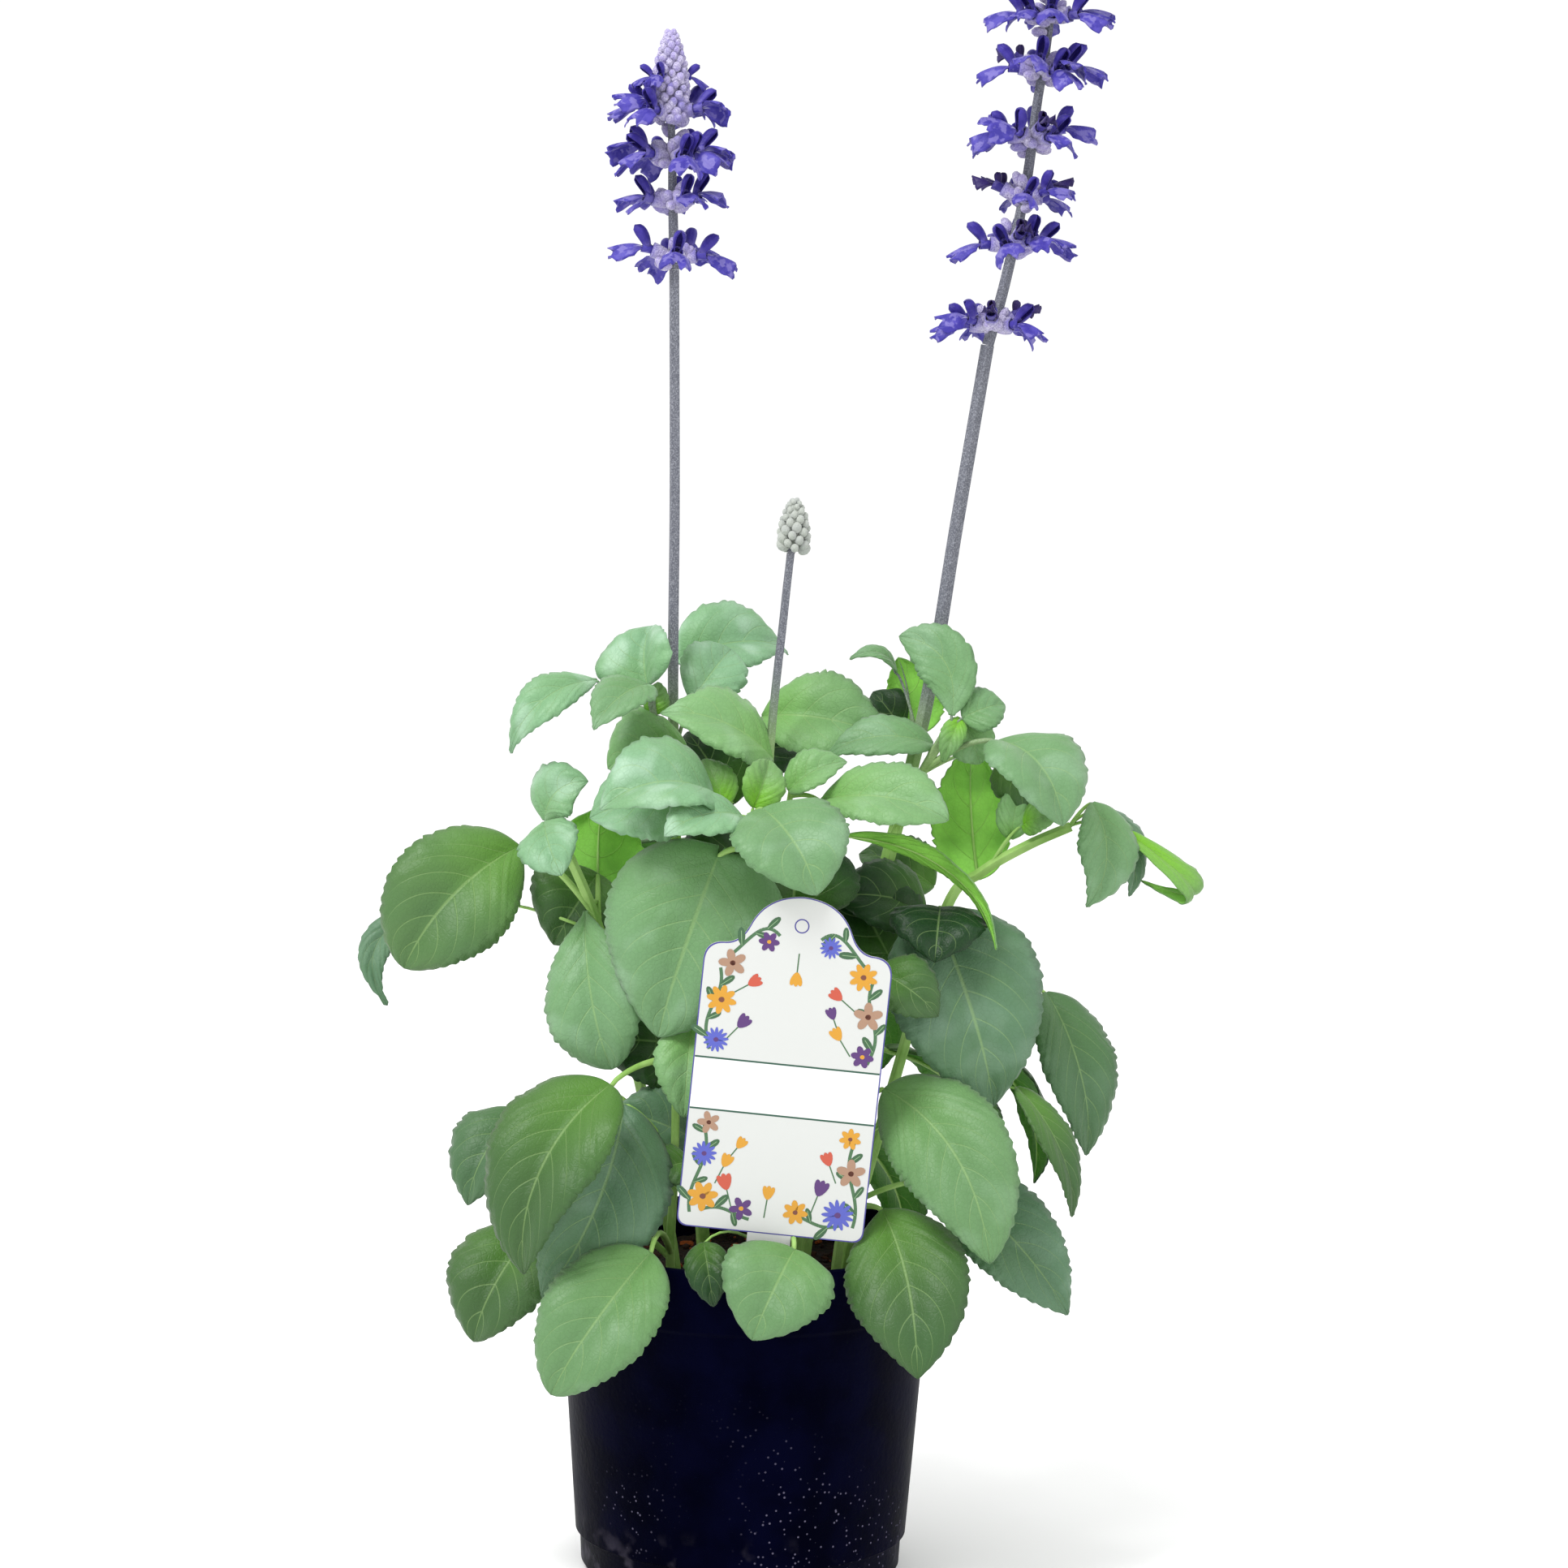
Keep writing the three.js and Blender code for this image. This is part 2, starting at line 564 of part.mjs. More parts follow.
const BACK_LEFT_LEAFY = {
  name: 'back_left_leafy_stem',
  radius: 1.6,
  route: [[-14, 30, STEM_BOTTOM], [-17, 33, 116], [-24, 38, 190], [-27, 40, 222]],
  leaves: [
    { from: 200, base: [-30, 46, 208], tip: [-62, 86, 168], width: 42, face: [130, 40] },
    { from: 216, base: [-24, 50, 226], tip: [-22, 98, 184], width: 42, face: [95, 40] },
    { from: 132, base: [-38, 44, 150], tip: [-66, 72, 102], width: 38, face: [140, 30] },
  ],
};

const BACK_RIGHT_LEAFY = {
  name: 'back_right_leafy_stem',
  radius: 1.6,
  route: [[16, 30, STEM_BOTTOM], [19, 33, 116], [26, 38, 190], [28, 40, 222]],
  leaves: [
    { from: 196, base: [32, 48, 206], tip: [50, 98, 164], width: 42, face: [70, 40] },
    { from: 170, base: [50, 38, 180], tip: [92, 66, 136], width: 40, face: [35, 35] },
    { from: 130, base: [36, 44, 148], tip: [60, 76, 100], width: 36, face: [50, 30] },
    { from: 120, base: [2, 50, 146], tip: [-6, 92, 98], width: 38, face: [95, 30] },
    { from: 218, base: [12, 52, 242], tip: [22, 88, 212], width: 32, face: [75, 45] },
  ],
};

const STEMS = [
  LEFT_FLOWERING, BUDDING, RIGHT_FLOWERING, LEFT_LEAFY, RIGHT_LEAFY, FRONT_LEFT_LEAFY,
  FRONT_RIGHT_LEAFY, FRONT_LEAFY, BACK_LEFT_LEAFY, BACK_RIGHT_LEAFY,
];

// Floret: a mealy calyx and tube that opens in a broad drooping lower lip, and an upright hood
const FLORET_RIB = [[1, 0], [11, 0.3], [15.5, -2.5], [20, -9.5]];
const FLORET_HALF = [0.5, 2.2, 5.4, 0];
const FLORET_FOLD = [0, 0, -0.6, 0];
const FLORET_THICK = [1, 4, 1, 0.8];
const LIP_STATION = 2;
const LIP_SHOULDER = 4.6;
const HOOD_SIZE = [2.6, 5.2, 2.6];
const HOOD_TIP_BACK = 0.75;
const HOOD_PLACE = [13.2, 0, 3.4];

// The floret points along +X before it is turned to its azimuth
function floret(place, azimuth, size, pitch) {
  const stations = FLORET_RIB.map(([x, z], k) => {
    const back = FLORET_RIB[Math.max(k - 1, 0)];
    const front = FLORET_RIB[Math.min(k + 1, FLORET_RIB.length - 1)];
    const tangent = new THREE.Vector3(front[0] - back[0], 0, front[1] - back[1]).normalize();
    const side = new THREE.Vector3(0, -1, 0);
    const face = side.clone().cross(tangent);
    const thick = FLORET_THICK[k];
    const tooth = k === LIP_STATION ? LIP_SHOULDER : 0;
    const centre = new THREE.Vector3(x, 0, z);
    return { centre, side, face, fold: FLORET_FOLD[k], half: FLORET_HALF[k], thick, tooth };
  });
  const hood = new THREE.SphereGeometry(1, 4, 2);
  hood.scale(...HOOD_SIZE);
  hood.rotateX(Math.PI / 2);
  hood.rotateY(HOOD_TIP_BACK);
  hood.translate(...HOOD_PLACE);
  const turn = new THREE.Matrix4().makeRotationZ(azimuth);
  turn.multiply(new THREE.Matrix4().makeRotationY(-pitch));
  turn.multiply(new THREE.Matrix4().makeScale(size, size, size));
  turn.setPosition(place);
  return ribbon(stations).add(solid(hood)).transform(turn.elements);
}

// Mealy bud cone: a tapering body raised all over by rows of round buds
const CONE_FOOT = 0.26;
const CONE_FULLNESS = 0.7;
const BUD_RELIEF = 0.13;

function budCone(foot, length, radius) {
  const sides = 10;
  const rings = 8;
  const profile = [];
  for (let i = 0; i <= rings; i += 1) {
    const u = i / rings;
    const turn = Math.PI * (CONE_FOOT + (1 - CONE_FOOT) * u);
    profile.push(new THREE.Vector2(radius * Math.sin(turn) ** CONE_FULLNESS, u * length));
  }
  profile[rings].x = 0;
  profile.unshift(new THREE.Vector2(0, 0));
  const geometry = new THREE.LatheGeometry(profile, sides);
  geometry.rotateX(Math.PI / 2);
  const places = geometry.attributes.position;
  for (let i = 0; i < places.count; i += 1) {
    const turn = Math.atan2(places.getY(i), places.getX(i));
    const row = Math.round((places.getZ(i) / length) * rings);
    const raise = 1 + BUD_RELIEF * Math.cos(turn * 5 + row * Math.PI);
    places.setX(i, places.getX(i) * raise);
    places.setY(i, places.getY(i) * raise);
  }
  geometry.translate(...foot);
  return solid(geometry);
}

const LEFT_HEAD = {
  name: 'left_flower_head',
  radius: 1.6,
  route: [[-31.5, 12, 458.4], [-32.5, 12, 484], [-33, 12, 499], [-34, 12, 520]],
  whorls: [
    { height: 461, size: 1, azimuths: [178, 2, -72, 112, 55] },
    { height: 479, size: 0.9, azimuths: [192, -5, -68, 80, 130] },
    { height: 494, size: 1, azimuths: [184, -8, -128, -45, 60, 118] },
    { height: 508, size: 0.95, azimuths: [176, 8, 92, -112, -52] },
  ],
  cone: { foot: [-33.8, 12, 511], length: 30, radius: 6 },
};

const RIGHT_HEAD = {
  name: 'right_flower_head',
  radius: 1.8,
  route: [[78.1, 8, 434.4], [84, 8, 458], [90, 8, 490], [93, 8, 517], [96, 8, 539], [98, 8, 566],
    [99, 8, 600]],
  whorls: [
    { height: 438, size: 0.95, azimuths: [174, -32, 40, 110] },
    { height: 467, size: 1, azimuths: [186, -100, -8, -48, 90] },
    { height: 482, size: 0.8, azimuths: [172, -80, -22, 28, 100] },
    { height: 503, size: 1, azimuths: [166, 200, -100, 0, -42, 84] },
    { height: 524, size: 1, azimuths: [180, -96, 8, -40, 90] },
    { height: 545, size: 1, azimuths: [182, 0, -90, -36, 90] },
    { height: 563, size: 0.95, azimuths: [20, 92, 164, 236, 308] },
    { height: 580, size: 0.8, azimuths: [-16, 74, 164, 254] },
  ],
  cone: { foot: [99, 8, 588], length: 34, radius: 6 },
};

const BUD_HEAD = {
  name: 'bud_head',
  radius: 1.3,
  route: [[11.03, -2, 361.4], [12, -2, 366]],
  whorls: [],
  cone: { foot: [12, -2, 361.6], length: 19, radius: 5.2 },
};

const HEADS = [LEFT_HEAD, RIGHT_HEAD, BUD_HEAD];
const WHORL_RISE = 0.4;
const SIZE_SPREAD = 0.06;

function buildHead(head, random) {
  const parts = [tube(head.route.map(vec), head.radius, 6, head.route.length * 2 - 2)];
  parts.push(budCone(head.cone.foot, head.cone.length, head.cone.radius));
  for (const whorl of head.whorls) {
    const place = vec(pointAtHeight(head.route, whorl.height));
    for (const azimuth of whorl.azimuths) {
      const turn = THREE.MathUtils.degToRad(azimuth);
      const pitch = WHORL_RISE * random();
      parts.push(floret(place, turn, whorl.size * (1 - SIZE_SPREAD * random()), pitch));
    }
  }
  return join(parts);
}

function buildPlant() {
  const plant = new THREE.Group();
  addNode(plant, 'pot', buildPot(), 0x11111f, 0.45);
  addNode(plant, 'soil', buildSoil([...STEMS.map(stemDrill), stakeSlot()]), 0x2a1712, 0.95);
  addNode(plant, 'label', buildLabel(), 0xecedea, 0.4);
  for (const stem of STEMS) {
    addNode(plant, stem.name, buildStem(stem), stem.name.includes('flowering') ? PALE_GREEN : GREEN, 0.6);
  }
  const random = seeded(SEED);
  for (const head of HEADS) {
    const color = head.whorls.length ? VIOLET_BLUE : GREY_VIOLET;
    addNode(plant, head.name, buildHead(head, random), color, 0.7);
  }
  return plant;
}

export default buildPlant();
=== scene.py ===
"""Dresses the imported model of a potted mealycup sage: a soft-leaved plant with violet-blue
spikes, growing in a round nursery pot, with a label card on a stake."""
from math import cos, pi, radians, sin

import bpy
import numpy as np
from mathutils import Matrix, Vector, noise


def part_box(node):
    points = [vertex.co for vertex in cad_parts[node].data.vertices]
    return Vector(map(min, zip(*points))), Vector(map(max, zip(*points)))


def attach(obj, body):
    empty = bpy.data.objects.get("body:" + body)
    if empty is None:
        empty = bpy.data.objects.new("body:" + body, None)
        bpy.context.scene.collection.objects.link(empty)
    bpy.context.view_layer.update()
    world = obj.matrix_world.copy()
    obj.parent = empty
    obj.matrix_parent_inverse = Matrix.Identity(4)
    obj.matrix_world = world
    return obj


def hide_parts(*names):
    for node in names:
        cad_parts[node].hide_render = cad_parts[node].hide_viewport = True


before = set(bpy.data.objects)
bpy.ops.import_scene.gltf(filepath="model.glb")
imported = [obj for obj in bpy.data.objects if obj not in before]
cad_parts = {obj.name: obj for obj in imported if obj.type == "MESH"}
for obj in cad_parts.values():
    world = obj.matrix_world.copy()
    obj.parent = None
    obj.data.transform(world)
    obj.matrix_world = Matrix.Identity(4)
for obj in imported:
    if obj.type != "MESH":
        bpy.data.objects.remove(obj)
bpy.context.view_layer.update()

# The camera stands 1.6 m away, a little above the plant and tipped down at it, with a long lens.
# It is rolled by about a degree, as the photograph is.
MM = 0.001
CAMERA_PLACE = Vector((10.27, -1589.5, 462.9)) * MM
CAMERA_TIP = radians(6.566)
CAMERA_ROLL = radians(1.147)
CAMERA_LENS = 104.98

bpy.ops.object.select_all(action="DESELECT")
bpy.ops.object.camera_add()
camera = bpy.context.object
aim = Matrix.Rotation(pi / 2 - CAMERA_TIP, 4, "X") @ Matrix.Rotation(CAMERA_ROLL, 4, "Z")
camera.matrix_world = Matrix.Translation(CAMERA_PLACE) @ aim
camera.data.lens = CAMERA_LENS
camera.data.sensor_width = 36
camera.data.clip_end = 20
bpy.context.scene.camera = camera

# The studio is a white room: an even white surround, a soft light high up on the left in front,
# and a weaker one from the right.
SURROUND = 1.06
KEY_POWER = 34
FILL_POWER = 5
LIGHT_AIM = Vector((0, 0, 0.3))

world = bpy.data.worlds.new("studio")
world.use_nodes = True
backdrop = world.node_tree.nodes["Background"].inputs
backdrop["Color"].default_value = (1, 1, 1, 1)
backdrop["Strength"].default_value = SURROUND
bpy.context.scene.world = world
bpy.context.scene.view_settings.view_transform = "Standard"


def softbox(place, size, power):
    bpy.ops.object.light_add(type="AREA", location=place)
    light = bpy.context.object
    light.data.size = size
    light.data.energy = power
    light.rotation_euler = (LIGHT_AIM - Vector(place)).to_track_quat("-Z", "Y").to_euler()


softbox((-0.8, -0.9, 1.9), 0.7, KEY_POWER)
softbox((1.4, -1.0, 0.9), 1.0, FILL_POWER)


class Wire:
    """A shader socket that adds, multiplies and compares like a number."""

    def __init__(self, tree, socket):
        self.tree = tree
        self.socket = socket

    def maths(self, operation, *values):
        node = self.tree.nodes.new("ShaderNodeMath")
        node.operation = operation
        for slot, value in zip(node.inputs, values):
            if isinstance(value, Wire):
                self.tree.links.new(value.socket, slot)
            else:
                slot.default_value = value
        return Wire(self.tree, node.outputs[0])

    def __add__(self, other):
        return self.maths("ADD", self, other)

    def __radd__(self, other):
        return self.maths("ADD", other, self)

    def __sub__(self, other):
        return self.maths("SUBTRACT", self, other)

    def __rsub__(self, other):
        return self.maths("SUBTRACT", other, self)

    def __mul__(self, other):
        return self.maths("MULTIPLY", self, other)

    def __rmul__(self, other):
        return self.maths("MULTIPLY", other, self)

    def __pow__(self, other):
        return self.maths("POWER", self, other)

    def __abs__(self):
        return self.maths("ABSOLUTE", self)

    def fraction(self):
        return self.maths("FRACT", self)

    def sine(self):
        return self.maths("SINE", self)

    def larger(self, other):
        return self.maths("MAXIMUM", self, other)

    def between(self, low, high):
        """0 below low and 1 above high, with a soft step from one to the other."""
        node = self.tree.nodes.new("ShaderNodeMapRange")
        node.interpolation_type = "SMOOTHSTEP"
        self.tree.links.new(self.socket, node.inputs["Value"])
        node.inputs["From Min"].default_value = low
        node.inputs["From Max"].default_value = high
        return Wire(self.tree, node.outputs[0])


def paint(red, green, blue):
    """A colour as it shows on a screen (0 to 255), as the linear light that shaders use."""
    return tuple((part / 255) ** 2.2 for part in (red, green, blue)) + (1,)


class Finish:
    """One material: a principled shader, and the expressions that feed it."""

    def __init__(self, name, **constants):
        self.material = bpy.data.materials.new(name)
        self.material.use_nodes = True
        self.tree = self.material.node_tree
        self.shader = self.tree.nodes["Principled BSDF"]
        for socket, value in constants.items():
            self.shader.inputs[socket.replace("_", " ")].default_value = value

    def node(self, kind, output=0, settings=None, **sockets):
        made = self.tree.nodes.new("ShaderNode" + kind)
        for name, value in (settings or {}).items():
            setattr(made, name, value)
        for name, value in sockets.items():
            slot = made.inputs[name.replace("_", " ")]
            if isinstance(value, Wire):
                self.tree.links.new(value.socket, slot)
            else:
                slot.default_value = value
        return Wire(self.tree, made.outputs[output])

    def place(self):
        return self.node("TexCoord", output="Object")

    def read(self, name, output="Fac"):
        """What a mesh says under a name."""
        return self.node("Attribute", output=output, settings={"attribute_name": name})

    def parts(self, vector):
        split = self.tree.nodes.new("ShaderNodeSeparateXYZ")
        self.tree.links.new(vector.socket, split.inputs[0])
        return [Wire(self.tree, output) for output in split.outputs]

    def cloud(self, size, detail=3.0):
        """Soft noise from 0 to 1, with blots about size metres across."""
        return self.node("TexNoise", Vector=self.place(), Scale=1 / size, Detail=detail)

    def blend(self, share, first, second):
        """A colour that goes from first to second as share goes from 0 to 1."""
        mix = self.tree.nodes.new("ShaderNodeMix")
        mix.data_type = "RGBA"
        for index, value in ((0, share), (6, first), (7, second)):
            if isinstance(value, Wire):
                self.tree.links.new(value.socket, mix.inputs[index])
            else:
                mix.inputs[index].default_value = value
        return Wire(self.tree, mix.outputs[2])

    def coated(self, colour, *coats):
        """A colour under coats of others, each given with the share that it covers."""
        for share, coat in coats:
            colour = self.blend(share, colour, coat)
        return colour

    def feed(self, **sockets):
        for name, value in sockets.items():
            self.tree.links.new(value.socket, self.shader.inputs[name.replace("_", " ")])

    def relief(self, height, depth):
        """Bumps the surface by up to depth metres."""
        self.feed(Normal=self.node("Bump", Height=height, Distance=depth))


bpy.ops.mesh.primitive_plane_add(size=16)
floor = bpy.context.object
floor.name = "floor"
pale = Finish("pale_floor", Base_Color=paint(252, 252, 252), Roughness=0.9)
floor.data.materials.append(pale.material)

# Pot: moulded from near-black blue plastic, with a deep band round the rim and a flat foot.
# The wall is one skin, pulled up ring by ring from the foot and turned in at the rim.
POT_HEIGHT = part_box("pot")[1].z
POT_BAND = 22 * MM
POT_SIDES = 160
POT_NECK = POT_HEIGHT - POT_BAND
POT_RINGS = [(radius * MM, height) for radius, height in (
    (53.4, 0), (55.4, 0.7 * MM), (56.6, 2.6 * MM), (57.1, 12.4 * MM), (57.6, 13.0 * MM),
    (58.7, 13.8 * MM), (61.3, 49 * MM), (64.8, POT_NECK - 1.2 * MM), (65.1, POT_NECK - 0.4 * MM),
    (65.6, POT_NECK), (65.9, POT_NECK + 0.8 * MM), (66.2, POT_HEIGHT - 2.6 * MM),
    (66.4, POT_HEIGHT - 1.6 * MM), (66.3, POT_HEIGHT - 0.5 * MM), (65.6, POT_HEIGHT),
    (64.7, POT_HEIGHT), (64.0, POT_HEIGHT - 0.6 * MM), (63.8, POT_HEIGHT - 3 * MM),
    (63.4, POT_NECK + 1 * MM), (63.0, POT_NECK - 4 * MM))]

bpy.ops.object.select_all(action="DESELECT")
bpy.ops.mesh.primitive_circle_add(vertices=POT_SIDES, radius=POT_RINGS[0][0], fill_type="NGON")
pot = bpy.context.object
pot.name = "nursery_pot"
bpy.ops.object.mode_set(mode="EDIT")
bpy.ops.mesh.select_all(action="SELECT")
for (radius, height), (wider, higher) in zip(POT_RINGS, POT_RINGS[1:]):
    rise = {"value": (0, 0, higher - height)}
    bpy.ops.mesh.extrude_region_move(TRANSFORM_OT_translate=rise)
    spread = wider / radius
    bpy.ops.transform.resize(value=(spread, spread, 1), center_override=(0, 0, higher))
bpy.ops.mesh.select_all(action="SELECT")
bpy.ops.mesh.normals_make_consistent(inside=False)
bpy.ops.object.mode_set(mode="OBJECT")
bpy.ops.object.shade_smooth_by_angle(angle=radians(40))

plastic = Finish("pot_plastic", Roughness=0.4, Specular_IOR_Level=0.015,
                 Specular_Tint=(0.4, 0.45, 1, 1))
_, _, high = plastic.parts(plastic.place())
mottle = plastic.cloud(18 * MM)
specks = plastic.node("TexVoronoi", Vector=plastic.place(), Scale=420.0)
dusty = plastic.cloud(45 * MM, 1.0).between(0.46, 0.66) * (1 - high.between(0.03, 0.08))
dust = (1 - specks.between(0.1, 0.2)) * dusty
mud = plastic.cloud(12 * MM).between(0.55, 0.7) * (1 - high.between(0.006, 0.028)) * 0.4
wall = plastic.coated(paint(4, 5, 18), (mottle.between(0.3, 0.7), paint(9, 10, 28)),
                      (mud, paint(84, 80, 92)), (dust * 0.6, paint(112, 108, 130)))
plastic.feed(Base_Color=wall, Roughness=0.36 + mottle * 0.16 + dust * 0.3)
plastic.relief(plastic.cloud(2.2 * MM) + plastic.cloud(9 * MM) * 0.8, 0.15 * MM)
pot.data.materials.append(plastic.material)
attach(pot, "root")
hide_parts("pot")

# Soil: dark peat with bits of reddish bark. A lumpy crust fills the pot to just under the rim,
# and loose crumbs and chips lie on it.
SOIL_RADIUS = 62.4 * MM
SOIL_HEIGHT = 106 * MM
SOIL_STEPS = 90
CRUMBS = 420
dice = np.random.default_rng(7)


def mark_points(mesh, **values):
    """Gives each point of a mesh the same values, under names that the materials read."""
    for name, value in values.items():
        shade = mesh.attributes.new(name, "FLOAT", "POINT")
        shade.data.foreach_set("value", np.full(len(mesh.vertices), float(value)))


def joined(parts):
    """One object made of several, which takes the place of the first."""
    bpy.ops.object.select_all(action="DESELECT")
    for part in parts:
        part.select_set(True)
    bpy.context.view_layer.objects.active = parts[0]
    bpy.ops.object.join()
    return bpy.context.object


bpy.ops.object.select_all(action="DESELECT")
bpy.ops.mesh.primitive_grid_add(x_subdivisions=SOIL_STEPS, y_subdivisions=SOIL_STEPS, size=2)
soil = bpy.context.object
soil.name = "potting_soil"
for point in soil.data.vertices:
    x, y = point.co.x, point.co.y
    flat = Vector((x * (1 - y * y / 2) ** 0.5, y * (1 - x * x / 2) ** 0.5, 0)) * SOIL_RADIUS
    lump = noise.noise(flat * 90) * 1.6 + noise.noise(flat * 320) * 0.9
    point.co = flat + Vector((0, 0, SOIL_HEIGHT + lump * MM))
crust = soil.modifiers.new("crust", "SOLIDIFY")
crust.thickness = 6 * MM
crust.offset = -1
bpy.ops.object.modifier_apply(modifier="crust")
bpy.ops.object.shade_smooth()

bpy.ops.mesh.primitive_cube_add(size=1)
chip = bpy.context.object
rounding = chip.modifiers.new("rounding", "BEVEL")
rounding.width = 0.22
bpy.ops.object.modifier_apply(modifier="rounding")
crumbs = []
for _ in range(CRUMBS):
    crumb = bpy.data.objects.new("crumb", chip.data.copy())
    bpy.context.collection.objects.link(crumb)
    reach = SOIL_RADIUS * 0.94 * dice.random() ** 0.5
    turn = dice.random() * 2 * pi
    spot = Vector((reach * cos(turn), reach * sin(turn), SOIL_HEIGHT + 0.7 * MM))
    length = (1.2 + 4.5 * dice.random() ** 3) * MM
    size = Matrix.Diagonal((length, length * (0.5 + 0.3 * dice.random()), length * 0.4, 1))
    tilt = Matrix.Rotation(dice.random() * 6, 4, "Z") @ Matrix.Rotation(dice.normal() * 0.5, 4, "X")
    crumb.data.transform(Matrix.Translation(spot) @ tilt @ size)
    mark_points(crumb.data, kind=0.15 + 0.85 * dice.random())
    crumbs.append(crumb)
bpy.data.objects.remove(chip)
soil = joined([soil, *crumbs])

peat = Finish("peat_and_bark", Roughness=0.95, Specular_IOR_Level=0.25)
kind = peat.read("kind")
grain = peat.cloud(1.6 * MM, 5.0)
fines = peat.blend(grain.between(0.35, 0.7), paint(14, 9, 9), paint(46, 28, 23))
bark = peat.blend(kind.between(0.55, 0.95), paint(44, 26, 20), paint(132, 66, 32))
peat.feed(Base_Color=peat.blend(kind.between(0.1, 0.5), fines, bark))
peat.relief(grain, 0.8 * MM)
soil.data.materials.append(peat.material)
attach(soil, "root")
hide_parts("soil")

# Label: one white plastic sheet, die-cut to a card with an arched top, on a stake. A border of
# small garden flowers and a ring are printed on it, with a plain white band across the middle.
CARD_WIDTH = 64
CARD_SHOULDER = 100
CARD_HEIGHT = 118
CARD_THICK = 0.8
CARD_CORNER = 4
CARD_BEVEL = 0.1
SHOULDER_ROUND = 7
ARCH_START = (17.4, 106.5)
ARCH_PULLS = (20, 100.5), (13, 117.5)
RING_RADIUS = 2.3
RING_HEIGHT = CARD_HEIGHT - 10
BAND_FOOT = 41.6
BAND_TOP = 59.6
STAKE_WIDTH = 15
STAKE_LENGTH = 60
STAKE_POINT = 14
CARD_FOOT = Vector((8.3, -54.5, 131.5))
CARD_SWAY = radians(4.8)
CARD_LEAN = radians(3.5)
CARD_STEPS = 12


def on_card(solid):
    """Stands a flat drawing in millimetres up at the card's place, facing the front."""
    stand = Matrix.Rotation(CARD_LEAN, 4, "X") @ Matrix.Rotation(CARD_SWAY, 4, "Y")
    solid.transform(stand @ Matrix.Rotation(pi / 2, 4, "X"))
    solid.transform(Matrix.Scale(MM, 4) @ Matrix.Translation(CARD_FOOT))


def bow(start, pull, end, along):
    """Points on a curve that leaves start towards pull and arrives at end."""
    along = along[..., None]
    return (1 - along) ** 2 * start + 2 * along * (1 - along) * pull + along ** 2 * end


def round_to(start, pull, end):
    """The points of a rounded part of the card's edge, without its start."""
    steps = np.linspace(0, 1, CARD_STEPS + 1)[1:]
    return list(bow(*np.array((start, pull, end), float), steps))


def card_edge():
    """The right half of the card's outline, from the middle of its foot to the top of its arch."""
    half = CARD_WIDTH / 2
    edge = [(STAKE_WIDTH / 2, 0), (half - CARD_CORNER, 0)]
    edge += round_to(edge[-1], (half, 0), (half, CARD_CORNER))
    edge.append((half, CARD_SHOULDER - SHOULDER_ROUND))
    edge += round_to(edge[-1], (half, CARD_SHOULDER), (half - SHOULDER_ROUND, CARD_SHOULDER))
    edge += round_to(edge[-1], ARCH_PULLS[0], ARCH_START)
    edge += round_to(edge[-1], ARCH_PULLS[1], (0, CARD_HEIGHT))
    return [tuple(point) for point in edge]


def draw_ring(curve, points):
    """Adds a closed line through flat points to a curve."""
    ring = curve.splines.new("POLY")
    ring.points.add(len(points) - 1)
    ring.points.foreach_set("co", np.array([(x, y, 0, 1) for x, y in points], float).ravel())
    ring.use_cyclic_u = True


def solid_from(name, curve):
    """The mesh that a curve draws, as a new object."""
    solid = bpy.data.objects.new(name, curve)
    bpy.context.collection.objects.link(solid)
    bpy.ops.object.select_all(action="DESELECT")
    solid.select_set(True)
    bpy.context.view_layer.objects.active = solid
    bpy.ops.object.convert(target="MESH")
    return solid


right = card_edge()
stake = [(1, -STAKE_LENGTH), (STAKE_WIDTH / 2, STAKE_POINT - STAKE_LENGTH)]
outline = stake + right + [(-x, y) for x, y in right[-2::-1]] + [(-x, y) for x, y in stake[::-1]]
drawing = bpy.data.curves.new("label_card", "CURVE")
drawing.dimensions = "2D"
drawing.fill_mode = "BOTH"
drawing.extrude = CARD_THICK / 2 - CARD_BEVEL
drawing.bevel_depth = CARD_BEVEL
drawing.offset = -CARD_BEVEL
draw_ring(drawing, outline)
card = solid_from("label_card", drawing)
card.data.transform(Matrix.Translation((0, 0, CARD_THICK / 2)))
on_card(card.data)
bpy.ops.object.shade_smooth_by_angle(angle=radians(30))

sheet = Finish("label_plastic", Roughness=0.38, Base_Color=paint(190, 192, 189))
sheet.feed(Roughness=0.34 + sheet.cloud(12 * MM) * 0.12)
card.data.materials.append(sheet.material)
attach(card, "root")
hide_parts("label")

# The print is flat ink shapes that lie on the card, each in its own colour. Their layers are a
# few hundredths of a millimetre apart, so that none sinks into another.
INK_STEP = 0.03
RIM_WIDTH = 0.42
WHITE_INK = (216, 218, 217)
LEAF_INK = (50, 86, 54)
STEM_INK = (62, 98, 64)
LINE_INK = (34, 74, 58)
GOLD_INK = (190, 135, 32)
BLUE_INK = (74, 82, 168)
PLUM_INK = (76, 42, 100)
CREAM_INK = (206, 186, 162)
UMBER_INK = (104, 58, 42)
CORAL_INK = (176, 74, 54)
EDGE_INK = (64, 60, 132)
RIB_INK = (122, 154, 112)
SHADE_INK = (150, 118, 96)

ink_points, ink_faces, ink_colours = [], [], []


def ink(shape, colour, layer):
    """Prints a filled shape, given as points round its edge, on a layer above the card."""
    start = len(ink_points)
    ink_points.extend((x, y, CARD_THICK + INK_STEP * layer) for x, y in shape)
    ink_faces.append(range(start, start + len(shape)))
    ink_colours.append(paint(*colour))


